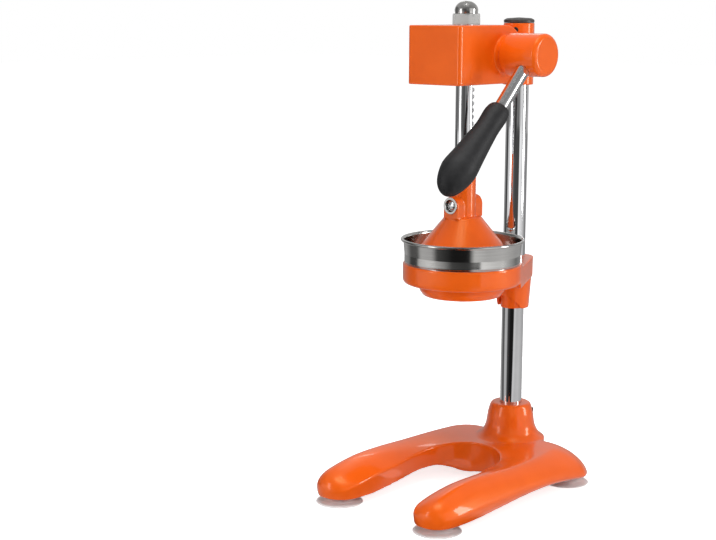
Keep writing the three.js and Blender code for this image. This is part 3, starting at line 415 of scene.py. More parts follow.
# Inner edge x and y, outer edge x and y, of the half width and half length; inner crease, crown
# and underside, of the leg's height; the belly, of the way from the underside to the crown: from
# the tip of a leg to the middle of the back.
LEG_STATION_SHARES = [
    (0.690, -0.990, 0.750, -0.990, 0.29, 0.34, 0.21, 0.36),
    (0.590, -0.968, 0.840, -0.970, 0.36, 0.57, 0.19, 0.36),
    (0.495, -0.912, 0.935, -0.912, 0.44, 0.73, 0.18, 0.36),
    (0.448, -0.810, 0.983, -0.800, 0.53, 0.85, 0.18, 0.36),
    (0.438, -0.595, 1.000, -0.560, 0.64, 0.97, 0.20, 0.33),
    (0.457, -0.335, 1.000, -0.270, 0.70, 0.99, 0.26, 0.30),
    (0.485, -0.070, 1.000, 0.060, 0.78, 0.96, 0.33, 0.26),
    (0.457, 0.137, 1.000, 0.385, 0.84, 0.96, 0.34, 0.18),
    (0.362, 0.250, 1.000, 0.680, 0.89, 0.97, 0.26, 0.12),
    (0.267, 0.303, 0.970, 0.855, 0.92, 0.98, 0.18, 0.10),
    (0.171, 0.335, 0.800, 0.980, 0.94, 0.98, 0.17, 0.11),
    (0.086, 0.349, 0.430, 0.998, 0.95, 0.97, 0.20, 0.12),
    (0.000, 0.353, 0.000, 0.999, 0.95, 0.96, 0.22, 0.12),
]
LEG_CROWN_SHARE = 0.6  # of the way from the inner edge to the outer
LEG_OUTER_POWER = 1.5  # of the outer wall's curve, where 2 is a plain quarter round
LEG_HOLLOW_SHARES = (0.35, 0.6, 0.8, 0.94)  # of the way from the crown to the hollow's outer wall
LEG_TUCK_SHARE = 0.07  # of the leg's width, drawn in under the outer edge
LEAST_HOLLOW_WIDTH = 30.0  # a leg's section narrower than this stays solid
ROUND_TIP_ROWS = 4  # rows over which a tip's round nose turns into the creased section
STEPS_PER_ROW = 6
SECTION_STEPS = 12
# Of the neck's foot radius, and of the way from the deck to the mouth
NECK_FLARE_SHARES = [(1, 0), (0.89, 0.07), (0.79, 0.18), (0.72, 0.33), (0.685, 0.5), (0.65, 0.72)]
NECK_FOOT_RADIUS = 43.0
NECK_MOUTH_RADIUS = 25.0
NECK_MOUTH_EDGE = 2.2
SOCKET_FLOOR = 20.0
FOOT_BOSS_RADIUS = 12.0
FOOT_BOSS_HEIGHT = 20.0


def leg_rows():
    mirrored = [(-ix, iy, -ox, oy, *rest) for ix, iy, ox, oy, *rest in LEG_STATION_SHARES[-2::-1]]
    return smooth_line(LEG_STATION_SHARES + mirrored, STEPS_PER_ROW)


def leg_row(row):
    """A station's inner and outer edge, and its four heights."""
    ix, iy, ox, oy, crease, crown, under, belly = row
    inner = np.array([ix * BASE_HALF_WIDTH, iy * BASE_HALF_LENGTH])
    outer = np.array([ox * BASE_HALF_WIDTH, oy * BASE_HALF_LENGTH])
    belly = under + (crown - under) * belly
    return inner, outer, *(share * LEG_HEIGHT for share in (crease, crown, under, belly))


def leg_section(row, tip):
    """One section of the horseshoe. tip is 1 at a round nose and 0 where the inner edge is creased."""
    inner, outer, crease, crown, under, belly = leg_row(row)
    power = 2 / (LEG_OUTER_POWER + (2 - LEG_OUTER_POWER) * tip)
    quarter = np.linspace(0, math.pi / 2, SECTION_STEPS)
    section = [(LEG_TUCK_SHARE * tip, under)]
    for a in quarter:
        across = 1 - math.cos(a) if tip > 0 else a * 2 / math.pi
        sharp = crease + (crown - crease) * math.sin(across * math.pi / 2)
        soft = belly + (crown - belly) * math.sqrt(max(0, 1 - (1 - across) ** 2))
        section.append((across * LEG_CROWN_SHARE, sharp + (soft - sharp) * tip))
    for a in quarter[1:]:
        section.append((LEG_CROWN_SHARE + (1 - LEG_CROWN_SHARE) * math.sin(a) ** power,
                        belly + (crown - belly) * max(0, math.cos(a)) ** power))
    section += [(1 - LEG_TUCK_SHARE / 4, (belly + under) / 2), (1 - LEG_TUCK_SHARE, under)]
    return [(*(inner + (outer - inner) * across), height) for across, height in section]


def leg_hollow(row):
    inner, outer, crease, crown, _, belly = leg_row(row)
    wall = BASE_WALL / np.linalg.norm(outer - inner)
    side = 1 - wall * 3 / 2
    section = [
        (wall, -OVERRUN), (wall, crease - BASE_WALL),
        (LEG_CROWN_SHARE / 2, (crease + crown) / 2 - BASE_WALL), (LEG_CROWN_SHARE, crown - BASE_WALL),
    ]
    for share in LEG_HOLLOW_SHARES:
        across = LEG_CROWN_SHARE + (side - LEG_CROWN_SHARE) * share
        beyond = (across - LEG_CROWN_SHARE) / (1 - LEG_CROWN_SHARE)
        fall = (1 - beyond ** LEG_OUTER_POWER) ** (1 / LEG_OUTER_POWER)
        section.append((across, belly + (crown - belly) * fall - BASE_WALL))
    section += [(side, belly), (side, -OVERRUN)]
    return [(*(inner + (outer - inner) * across), height) for across, height in section]


def base_casting():
    rows = leg_rows()
    last = len(rows) - 1
    rings = []
    for i, row in enumerate(rows):
        from_tip = min(i, last - i) / STEPS_PER_ROW / ROUND_TIP_ROWS
        share = max(0.0, 1 - from_tip)
        rings.append(leg_section(row, share * share * (3 - 2 * share)))
    wide = [row for i, row in enumerate(rows) if i % STEPS_PER_ROW == 0
            and np.hypot((row[2] - row[0]) * BASE_HALF_WIDTH, (row[3] - row[1]) * BASE_HALF_LENGTH)
            > LEAST_HOLLOW_WIDTH]
    deck = LEG_STATION_SHARES[-1][5] * LEG_HEIGHT
    mouth = high("base_casting").z
    flare = [(radius * NECK_FOOT_RADIUS, deck + rise * (mouth - deck)) for radius, rise in NECK_FLARE_SHARES]
    side = smooth_line([*flare, (NECK_MOUTH_RADIUS, mouth - NECK_MOUTH_EDGE)], steps=5)
    neck = turned([(0, deck - BASE_WALL), (NECK_FOOT_RADIUS, deck - BASE_WALL), *side,
                   (NECK_MOUTH_RADIUS - NECK_MOUTH_EDGE, mouth), (0, mouth)], place=ON_COLUMN)
    made = cut(joined(lofted(rings), neck), lofted([leg_hollow(row) for row in wide]))
    joined(made, bar(COLUMN_RADIUS + BASE_WALL, SOCKET_FLOOR - BASE_WALL, deck, SMALL_SIDES, ON_COLUMN))
    feet = [middle(f"cup_stud_{corner}") for corner in CORNERS]
    seat = low("base_casting").z
    for foot in feet:
        joined(made, bar(FOOT_BOSS_RADIUS, seat, seat + FOOT_BOSS_HEIGHT, SMALL_SIDES, (foot.x, foot.y, 0)))
    cast(made, BASE_VOXEL, BASE_CAST_PASSES)
    cut(made, bar(COLUMN_RADIUS + FIT, SOCKET_FLOOR, mouth + OVERRUN, place=ON_COLUMN))
    radius, top = size("cup_stud_front_left").x / 2 + FIT, high("cup_stud_front_left").z + FIT
    for foot in feet:
        cut(made, bar(radius, 0, top, SMALL_SIDES, (foot.x, foot.y, 0)))
    cut(made, grub_hole("base_set_screw"))
    piece(made, "base_casting", "stand", "orange_paint", CAST_SHARP)


CORNERS = ("front_left", "front_right", "rear_left", "rear_right")


# Grub screws: each points away from the axis of what it clamps

GRUB_RADIUS = 3.0
GRUB_SOCKET = 1.6
GRUB_SOCKET_DEPTH = 3.0
GRUBS = {
    "base_set_screw": ("stand", COLUMN), "head_set_screw": ("stand", COLUMN),
    "bracket_set_screw": ("stand", COLUMN), "hub_set_screw": ("lever", SHAFT),
}


def grub_line(node):
    """The screw's middle and its direction, outward."""
    at, axis = middle(node), GRUBS[node][1]
    away = at - axis
    if axis is SHAFT:
        away.x = 0
    else:
        away.z = 0
    return at, away.normalized()


def along(direction):
    return Vector((0, 0, 1)).rotation_difference(direction).to_matrix().to_4x4()


def grub_reach(node):
    """Half the screw's length, worked out from its box."""
    _, away = grub_line(node)
    longest = max(range(3), key=lambda k: abs(away[k]))
    across = GRUB_RADIUS * math.sqrt(1 - away[longest] ** 2)
    return (size(node)[longest] / 2 - across) / abs(away[longest])


def grub_hole(node):
    at, away = grub_line(node)
    reach = grub_reach(node)
    return bar(GRUB_RADIUS + FIT, -reach - OVERRUN * 2, reach + GRUB_RADIUS * 5, SMALL_SIDES, at, along(away))


def grub_screw(node):
    at, away = grub_line(node)
    reach, turn = grub_reach(node), along(away)
    edge = GRUB_RADIUS / 6
    profile = [(0, -reach), (GRUB_RADIUS - edge, -reach), (GRUB_RADIUS, edge - reach),
               (GRUB_RADIUS, reach - edge), (GRUB_RADIUS - edge, reach), (0, reach)]
    screw = turned(profile, SMALL_SIDES, at, turn)
    cut(screw, extruded(hexagon(GRUB_SOCKET), reach - GRUB_SOCKET_DEPTH, reach + OVERRUN, at, turn))
    piece(screw, node, GRUBS[node][0], "black_steel")


# Suction cups

CUP_LIP = 3.0
CUP_LIP_HEIGHT = 1.3
CUP_HOLLOW = 2.6
CUP_HUB_RADIUS = 13.0
CUP_SLOPE_SHARES = [(0.86, 1.5), (0.68, 2.6)]  # of the cup's radius, and of its lip's height
CUP_SHOULDER_SHARE = 1.6  # of its lip's height, below its top


def suction_cup(corner):
    node = f"suction_cup_{corner}"
    at, radius, top = middle(node), size(node).x / 2, high(node).z
    wall = CUP_LIP_HEIGHT
    slope = [(radius * across, wall * up) for across, up in CUP_SLOPE_SHARES]
    shoulder = (CUP_HUB_RADIUS + wall, top - wall * CUP_SHOULDER_SHARE)
    side = smooth_line([(radius - wall / 2, wall), *slope, shoulder, (CUP_HUB_RADIUS, top - wall)])
    profile = [
        (0, CUP_HOLLOW), (radius / 2, CUP_HOLLOW), (radius - CUP_LIP, 0), (radius - wall / 2, 0),
        (radius, wall / 2), *side, (CUP_HUB_RADIUS, top), (0, top),
    ]
    made = turned(profile, MIDDLE_SIDES, (at.x, at.y, 0))
    stud = f"cup_stud_{corner}"
    cut(made, bar(size(stud).x / 2 + FIT, low(stud).z, top + OVERRUN, SMALL_SIDES, (at.x, at.y, 0)))
    piece(made, node, "stand", "silicone")


# Column and its cap

COLUMN_WALL = 2.0
COLUMN_EDGE = 0.4
CAP_FLANGE = 3.4
CAP_PLUG_EDGE = 1.0
CAP_RIM_EDGE = 0.9
CAP_CROWN_ROUND = 2.0
CAP_CROWN_SHARES = (0.8, 0.35)  # of the cap's radius, and of its crown's height from the top


def column():
    bottom, top = span("column_tube", "z")
    made = ring(COLUMN_RADIUS - COLUMN_WALL, COLUMN_RADIUS, bottom, top, COLUMN_EDGE, place=ON_COLUMN)
    piece(made, "column_tube", "stand", "chrome")


def column_cap():
    bottom, top = span("column_cap", "z")
    radius = size("column_cap").x / 2
    plug = COLUMN_RADIUS - COLUMN_WALL - FIT
    crown = top - high("head_housing").z - FIT - CAP_FLANGE
    seat = top - CAP_FLANGE - crown
    across, down = CAP_CROWN_SHARES
    profile = rounded([
        (0, bottom), (plug, bottom, CAP_PLUG_EDGE), (plug, seat, FINE_EDGE), (radius, seat, SOFT_EDGE),
        (radius, top - crown, CAP_RIM_EDGE), (radius * across, top - crown * down, CAP_CROWN_ROUND), (0, top),
    ])
    piece(turned(profile, place=ON_COLUMN), "column_cap", "stand", "grey_plastic")


# Head housing, drawn round the shaft's axis

HEAD_HALF_HEIGHT = 33.6
HEAD_HALF_WIDTH = 38.4
HEAD_WALL = 5.0
HEAD_UPRIGHT_EDGE = 3.6
HEAD_VOXEL = 0.9
HEAD_CAST_PASSES = 4
COLLAR_RADIUS = 22.0
LEFT_BOSS_RADIUS = 16.0
CLAMP_RADIUS = 18.5
CLAMP_DEPTH = 38.5
NECK_WEB_HALF_WIDTH = 15.0
NECK_WEB_TOP = 20.0
NECK_WEB_BOTTOM = 29.0


def head_side(half, front, steps=48):
    """The head's side in (y, z) round the shaft: a rectangle in front and half a disc behind."""
    return [(front, half), (front, -half), *arc((0, 0), half, -90, 90, steps)]


def head_housing():
    front = low("head_housing").y - SHAFT.y
    left_face, collar_face = span("head_housing", "x")
    guide = size("upper_guide_bush").x / 2 + FIT
    bush = size("shaft_bush_right").z / 2 + FIT
    width, edge = HEAD_HALF_WIDTH, HEAD_UPRIGHT_EDGE
    beyond = HEAD_HALF_HEIGHT * 2
    plan = rounded([(-width, front, edge), (width, front, edge), (width, beyond), (-width, beyond)], steps=8)
    top = high("head_housing").z
    made = extruded(head_side(HEAD_HALF_HEIGHT, front), -width, width, ON_SHAFT, Y_Z_ALONG_X)
    common(made, extruded(plan, -beyond, beyond, ON_SHAFT))
    joined(
        made,
        bar(COLLAR_RADIUS, 0, collar_face, place=ON_SHAFT, turn=ALONG_X),
        bar(LEFT_BOSS_RADIUS, left_face, 0, place=ON_SHAFT, turn=ALONG_X),
        bar(CLAMP_RADIUS, SHAFT.z - CLAMP_DEPTH, top, place=ON_COLUMN),
        block((-NECK_WEB_HALF_WIDTH, SHAFT.y, SHAFT.z - NECK_WEB_BOTTOM),
              (NECK_WEB_HALF_WIDTH, COLUMN.y, SHAFT.z + NECK_WEB_TOP)),
    )
    cast(made, HEAD_VOXEL, HEAD_CAST_PASSES)
    room = head_side(HEAD_HALF_HEIGHT - HEAD_WALL, front + HEAD_WALL)
    plate_low, plate_high = low("head_bottom_plate"), high("head_bottom_plate")
    cut(
        made,
        extruded(room, HEAD_WALL - width, width - HEAD_WALL, ON_SHAFT, Y_Z_ALONG_X),
        block((plate_low.x - FIT, plate_low.y - FIT, plate_low.z - OVERRUN),
              (plate_high.x + FIT, plate_high.y + FIT, SHAFT.z)),
        bar(bush, left_face - OVERRUN, collar_face + OVERRUN, place=ON_SHAFT, turn=ALONG_X),
        bar(guide, SHAFT.z, SHAFT.z + HEAD_HALF_HEIGHT + OVERRUN, place=ON_ROD),
        bar(COLUMN_RADIUS + FIT, SHAFT.z - CLAMP_DEPTH - OVERRUN, top + OVERRUN, place=ON_COLUMN),
        grub_hole("head_set_screw"),
    )
    piece(made, "head_housing", "stand", "orange_paint", CAST_SHARP)


def bushes():
    rod_bore = size("plunger_rack").x / 2 + FIT
    shaft_bore = size("pinion_shaft").z / 2 + FIT
    for node in ("upper_guide_bush", "lower_guide_bush"):
        made = ring(rod_bore, size(node).x / 2, *span(node, "z"), place=ON_ROD)
        piece(made, node, "stand", "bronze")
    for node in ("shaft_bush_right", "shaft_bush_left"):
        made = ring(shaft_bore, size(node).z / 2, *span(node, "x"), place=ON_SHAFT, turn=ALONG_X)
        piece(made, node, "stand", "bronze")


PLATE_SCREW_SOCKET = 2.2
PLATE_SCREW_SOCKET_DEPTH = 1.5
PLATE_SCREW_HEAD_HEIGHT = 2.2
PLATE_SCREW_OVERHANG = 1.8


def plate_screw(node):
    at, (face, end) = middle(node), span(node, "z")
    head = size(node).x / 2
    shank = head - PLATE_SCREW_OVERHANG
    profile = [(0, face), (head - EDGE, face), (head, face + EDGE), (shank, face + PLATE_SCREW_HEAD_HEIGHT),
               (shank, end), (0, end)]
    screw = turned(profile, SMALL_SIDES, (at.x, at.y, 0))
    socket = hexagon(PLATE_SCREW_SOCKET)
    cut(screw, extruded(socket, face - OVERRUN, face + PLATE_SCREW_SOCKET_DEPTH, (at.x, at.y, 0)))
    piece(screw, node, "stand", "plain_steel")


# Shaft and its ring

SHAFT_GROOVE = 1.0
SHAFT_EDGE = 1.0


def pinion_shaft():
    node = "pinion_shaft"
    radius, (start, end) = size(node).z / 2, span(node, "x")
    ring_low, ring_high = span("shaft_retaining_ring", "x")
    floor_radius = radius - SHAFT_GROOVE
    profile = [
        (0, start), (radius - SHAFT_EDGE, start), (radius, start + SHAFT_EDGE), (radius, ring_low - FIT),
        (floor_radius, ring_low - FIT), (floor_radius, ring_high + FIT), (radius, ring_high + FIT),
        (radius, end), (0, end),
    ]
    made = turned(profile, place=ON_SHAFT, turn=ALONG_X)
    key_low, key_high = low("pinion_key"), high("pinion_key")
    cut(made, block((key_low.x - FIT, key_low.y - FIT, key_low.z - FIT),
                    (key_high.x + FIT, key_high.y + FIT, key_high.z)))
    piece(made, node, "lever", "plain_steel")


def retaining_ring():
    node = "shaft_retaining_ring"
    inner = size("pinion_shaft").z / 2 - SHAFT_GROOVE + FIT
    outer = size(node).y / 2
    left, right = span(node, "x")
    made = ring(inner, outer, left, right, FINE_EDGE, place=ON_SHAFT, turn=ALONG_X)
    cut(made, block((left - OVERRUN, SHAFT.y - inner / 2, SHAFT.z),
                    (right + OVERRUN, SHAFT.y + inner / 2, SHAFT.z + outer + OVERRUN)))
    piece(made, node, "lever", "black_steel")


# Lever: the rod and the grip are drawn hanging straight down and turned to the rest angle

LEVER_ANGLE = math.radians(45)
LEVER_TURN = Matrix.Rotation(-LEVER_ANGLE, 4, "X")
HUB_RADIUS = 24.5
HUB_OUTER_EDGE = 5.5
HUB_INNER_EDGE = 1.6
HUB_FACE_THICKNESS = 9.0
LEVER_SEAT = 12.0
GRIP_START = 82.0
GRIP_LENGTH = 130.0
GRIP_HOLD = 95.0
GRIP_RADIUS = 19.8
GRIP_BULGE = 6.6
GRIP_SIDES = 64
# Of the grip's length, of its radius and of its bulge
GRIP_STATION_SHARES = [
    (0, 0.5, 0), (0.004, 0.57, 0.02), (0.016, 0.625, 0.05), (0.045, 0.675, 0.1), (0.1, 0.71, 0.15),
    (0.24, 0.69, 0.25), (0.41, 0.79, 0.48), (0.575, 0.9, 0.68), (0.7, 1, 0.87), (0.765, 0.995, 0.97),
    (0.85, 0.88, 1.04), (0.92, 0.71, 1.03), (0.965, 0.5, 0.95), (0.99, 0.28, 0.9), (1, 0.05, 0.88),
]


def lever_hub():
    node = "lever_hub"
    start, end = span(node, "x")
    profile = rounded([(0, start), (HUB_RADIUS, start, HUB_INNER_EDGE), (HUB_RADIUS, end, HUB_OUTER_EDGE),
                       (0, end)], steps=10)
    made = turned(profile, place=ON_SHAFT, turn=ALONG_X)
    lever = size("lever_rod").x / 2
    lever_at = (middle("lever_rod").x, SHAFT.y, SHAFT.z)
    shaft_bore = size("pinion_shaft").z / 2 + FIT
    cut(
        made,
        bar(shaft_bore, start - OVERRUN, end - HUB_FACE_THICKNESS, place=ON_SHAFT, turn=ALONG_X),
        bar(lever + FIT, -HUB_RADIUS - OVERRUN, FIT - LEVER_SEAT, place=lever_at, turn=LEVER_TURN),
        grub_hole("hub_set_screw"),
    )
    softened(made, SOFT_EDGE, segments=2, angle=40)
    piece(made, node, "lever", "orange_paint", sharp=40)


def lever_rod():
    radius, x = size("lever_rod").x / 2, middle("lever_rod").x
    end = FIT - GRIP_START - GRIP_HOLD
    made = bar(radius, end, -LEVER_SEAT, place=(x, SHAFT.y, SHAFT.z), turn=LEVER_TURN)
    piece(made, "lever_rod", "lever", "chrome")


def lever_grip():
    x = middle("lever_rod").x
    move = Matrix.Translation((x, SHAFT.y, SHAFT.z)) @ LEVER_TURN
    rings = []
    for along_share, size_share, bulge in smooth_line(GRIP_STATION_SHARES):
        radius, height = size_share * GRIP_RADIUS, -GRIP_START - along_share * GRIP_LENGTH
        rings.append([move @ Vector((radius * c, radius * s - bulge * GRIP_BULGE, height))
                      for c, s in spokes(GRIP_SIDES)])
    made = lofted(rings)
    radius = size("lever_rod").x / 2
    cut(made, bar(radius + FIT, -GRIP_START - GRIP_HOLD, OVERRUN - GRIP_START, SMALL_SIDES,
                  (x, SHAFT.y, SHAFT.z), LEVER_TURN))
    piece(made, "lever_grip", "lever", "black_plastic", sharp=50)


# Plunger

GEAR_MODULE = 2.5
BACKLASH = 0.4
RACK_PITCH_PLANE = 3.5
RACK_PHASE = 2.4
RACK_GAPS_ABOVE = 2
RACK_GAPS_BELOW = 13
TOOTH_ROOT_SHARE = 1.25
PRESSURE_ANGLE = math.radians(20)
RACK_EDGE = 0.25
THREAD_RADIUS = 10.0
NUT_FLATS = 30.0
NUT_HEX_HEIGHT = 12.6
NUT_DOME_RADIUS = 13.6
NUT_EDGE = 0.8
NUT_SOFT_EDGE = 0.35
NUT_TURN = math.pi / 12
CONE_TOP_RADIUS = 21.5
CONE_NECK_RADIUS = 14.6
CONE_WALL = 4.6
CONE_TOP_THICKNESS = 6.0
CONE_LIP_HEIGHT = 2.0
CONE_LIP_TUCK = 2.0
CONE_LIP_EDGE = 0.6
CONE_RIM_EDGE = 1.4
CONE_SHOULDER_EDGE = 1.5
CONE_MOUTH_EDGE = 0.8
CONE_VOXEL = 0.8
CONE_CAST_PASSES = 3
BOSS_RADIUS = 10.5
BOSS_HALF_LENGTH = 23.5
BOLT_RADIUS = 5.0
BOLT_RECESS_RADIUS = 8.2
BOLT_RECESS_DEPTH = 4.5
BOLT_SIDES = 64
BOLT_SHOULDER_SHARE = 0.2  # of the bolt's head, below its dome
BOLT_NUT_EDGE = 0.4
FERRULE_WALL = 0.7
FERRULE_RIM_EDGE = 0.45
CONE_ANGLE = math.radians(39.2)


def head_top():
    return SHAFT.z + HEAD_HALF_HEIGHT


def rack_tool(radius):
    crest = RACK_PITCH_PLANE + GEAR_MODULE
    root = RACK_PITCH_PLANE - GEAR_MODULE * TOOTH_ROOT_SHARE
    pitch = math.pi * GEAR_MODULE
    slope = math.tan(PRESSURE_ANGLE)
    half = pitch / 4 + BACKLASH / 2
    crest_half, root_half = half + GEAR_MODULE * slope, half - (RACK_PITCH_PLANE - root) * slope
    heart = SHAFT.z + RACK_PHASE
    top, bottom = heart + (RACK_GAPS_ABOVE + 0.5) * pitch, heart - (RACK_GAPS_BELOW + 0.5) * pitch
    outline = [(radius + OVERRUN, bottom), (radius + OVERRUN, top), (crest, top)]
    for i in range(RACK_GAPS_ABOVE, -RACK_GAPS_BELOW - 1, -1):
        z = heart + i * pitch
        outline += [(crest, z + crest_half), (root, z + root_half), (root, z - root_half),
                    (crest, z - crest_half)]
    outline.append((crest, bottom))
    return extruded(outline, -radius - OVERRUN, radius + OVERRUN, ON_ROD, Y_Z_ALONG_X)


def plunger_rack():
    node = "plunger_rack"
    radius, (start, end) = size(node).x / 2, span(node, "z")
    made = turned([(0, start), (radius, start), (radius, head_top()), (THREAD_RADIUS, head_top()),
                   (THREAD_RADIUS, end), (0, end)], place=ON_ROD)
    cut(made, rack_tool(radius))
    softened(made, RACK_EDGE, segments=2, angle=40)
    on_bolt = (0, ROD.y, middle("cone_bolt").z)
    cut(made, bar(BOLT_RADIUS + FIT, -radius - OVERRUN, radius + OVERRUN, SMALL_SIDES, on_bolt, ALONG_Y))
    piece(made, node, "plunger", "chrome", sharp=30)


def acorn_nut():
    node = "acorn_nut"
    seat, top = span(node, "z")
    shoulder = seat + NUT_HEX_HEIGHT
    corner = NUT_FLATS / math.sqrt(3)
    made = extruded(hexagon(corner, NUT_TURN), seat, shoulder, ON_ROD)
    chamfers = [(0, seat), (corner - NUT_EDGE, seat), (corner, seat + NUT_EDGE),
                (corner, shoulder - NUT_EDGE * 2), (corner - NUT_EDGE * 3, shoulder), (0, shoulder)]
    common(made, turned(chamfers, place=ON_ROD))
    collar = (top - shoulder) / 4
    dome = [(NUT_DOME_RADIUS * math.cos(a), shoulder + collar + (top - shoulder - collar) * math.sin(a))
            for a in np.linspace(0, math.pi / 2, 16)]
    dome[-1] = (0, top)
    foot = [(0, shoulder - NUT_EDGE), (NUT_DOME_RADIUS - NUT_EDGE, shoulder - NUT_EDGE),
            (NUT_DOME_RADIUS - NUT_EDGE / 2, shoulder + NUT_EDGE / 2)]
    joined(made, turned(foot + dome, place=ON_ROD))
    softened(made, NUT_SOFT_EDGE, angle=25)
    cut(made, bar(THREAD_RADIUS + FIT, seat - OVERRUN, high("plunger_rack").z + FIT, place=ON_ROD))
    piece(made, node, "plunger", "stainless", sharp=25)


def press_cone():
    node = "press_cone"
    lip, mouth = span(node, "z")
    rim = size(node).x / 2
    top = lip + CONE_LIP_HEIGHT + (rim - CONE_TOP_RADIUS) / math.tan(CONE_ANGLE)
    axis = middle("cone_bolt").z
    on_bolt = (0, ROD.y, axis)
    body = turned(rounded([
        (0, lip), (rim - CONE_LIP_TUCK, lip, CONE_LIP_EDGE), (rim, lip + CONE_LIP_HEIGHT, CONE_RIM_EDGE),
        (CONE_TOP_RADIUS, top, CONE_SHOULDER_EDGE), (CONE_NECK_RADIUS, top, CONE_SHOULDER_EDGE),
        (CONE_NECK_RADIUS, mouth, CONE_MOUTH_EDGE), (0, mouth),
    ], steps=5), place=ON_ROD)
    half = BOSS_HALF_LENGTH
    joined(
        body,
        bar(BOSS_RADIUS, -half, half, place=on_bolt, turn=ALONG_Y),
        block((-BOSS_RADIUS, ROD.y - half, top - OVERRUN), (BOSS_RADIUS, ROD.y + half, axis)),
    )
    cast(body, CONE_VOXEL, CONE_CAST_PASSES)
    inner = rim - CONE_WALL
    roof = top - CONE_TOP_THICKNESS
    roof_radius = CONE_TOP_RADIUS + CONE_TOP_THICKNESS * math.tan(CONE_ANGLE) - CONE_WALL
    room = [(0, lip - OVERRUN), (inner, lip - OVERRUN), (inner, lip + CONE_LIP_HEIGHT), (roof_radius, roof),
            (0, roof)]
    cut(
        body,
        turned(room, place=ON_ROD),
        bar(size("plunger_rack").x / 2 + FIT, low("plunger_rack").z - FIT, mouth + OVERRUN, place=ON_ROD),
        bar(BOLT_RADIUS + FIT, -half, half, SMALL_SIDES, on_bolt, ALONG_Y),
        bar(BOLT_RECESS_RADIUS, -half - OVERRUN, BOLT_RECESS_DEPTH - half, MIDDLE_SIDES, on_bolt, ALONG_Y),
        bar(BOLT_RECESS_RADIUS, half - BOLT_RECESS_DEPTH, half + OVERRUN, MIDDLE_SIDES, on_bolt, ALONG_Y),
    )
    piece(body, node, "plunger", "orange_paint", sharp=45)


def across_rod(node):
    """Both ends of a piece on the cross bolt, from the rod's axis, and its place."""
    return low(node).y - ROD.y, high(node).y - ROD.y, (0, ROD.y, middle(node).z)


def cone_bolt():
    node = "cone_bolt"
    start, end, on_bolt = across_rod(node)
    radius = size(node).x / 2
    face = BOLT_RECESS_DEPTH - BOSS_HALF_LENGTH - FIT
    rise, shoulder = face - start, BOLT_SHOULDER_SHARE
    dome = [(radius * math.sin(a), face - rise * (shoulder + (1 - shoulder) * math.cos(a)))
            for a in np.linspace(0, math.pi / 2, 12)]
    dome[0] = (0, start)
    profile = [*dome, (radius, face), (BOLT_RADIUS, face), (BOLT_RADIUS, end), (0, end)]
    made = turned(profile, BOLT_SIDES, on_bolt, ALONG_Y)
    piece(made, node, "plunger", "chrome", sharp=30)


def cone_bolt_ferrule():
    """A thin liner in the recess, with a rim that stands round the bolt's head."""
    node = "cone_bolt_ferrule"
    start, end, on_bolt = across_rod(node)
    rim, sleeve = size(node).x / 2, BOLT_RECESS_RADIUS - FIT
    bore = sleeve - FERRULE_WALL
    seat = -BOSS_HALF_LENGTH - FIT
    profile = rounded([(bore, start, EDGE), (rim, start, FERRULE_RIM_EDGE), (rim, seat, EDGE), (sleeve, seat),
                       (sleeve, end), (bore, end)], steps=4)
    made = turned(profile + profile[:1], MIDDLE_SIDES, on_bolt, ALONG_Y)
    piece(made, node, "plunger", "stainless")


def cone_bolt_nut():
    node = "cone_bolt_nut"
    start, end, on_bolt = across_rod(node)
    made = extruded(hexagon(size(node).x / 2), start, end, on_bolt, ALONG_Y)
    softened(made, BOLT_NUT_EDGE)
    cut(made, bar(BOLT_RADIUS + FIT, start - OVERRUN, end + OVERRUN, SMALL_SIDES, on_bolt, ALONG_Y))
    piece(made, node, "plunger", "plain_steel")


# Bowl and reamer

SHEET = 1.2
BOWL_RADIUS = 70.0
BOWL_SIDES = 160
BOWL_ROUND = 1.6
BEAD_RADIUS = 1.75
WELL_RADIUS = 64.0
WELL_DEPTH = 8.0
WELL_ROUND = 4.0
WELL_EDGE = 2.0
FUNNEL_DEPTH = 11.0
FUNNEL_ROUND = 6.0
FUNNEL_EDGE = 2.0
SPOUT_TOP_RADIUS = 19.0
SPOUT_RADIUS = 15.0
REAMER_RADIUS = 37.0
DRAIN_HOLES = 16
DRAIN_SIDES = 24
DRAIN_RADIUS = 1.8
DRAIN_CIRCLE_RADIUS = 44.0
# The dome's outline, of its radius and of its height
REAMER_STEP_SHARES = [
    (1, 0), (0.95, 0.16), (0.86, 0.25), (0.82, 0.28), (0.78, 0.43), (0.69, 0.51), (0.65, 0.54),
    (0.61, 0.68), (0.52, 0.76), (0.48, 0.79), (0.42, 0.91), (0.25, 0.98),
]


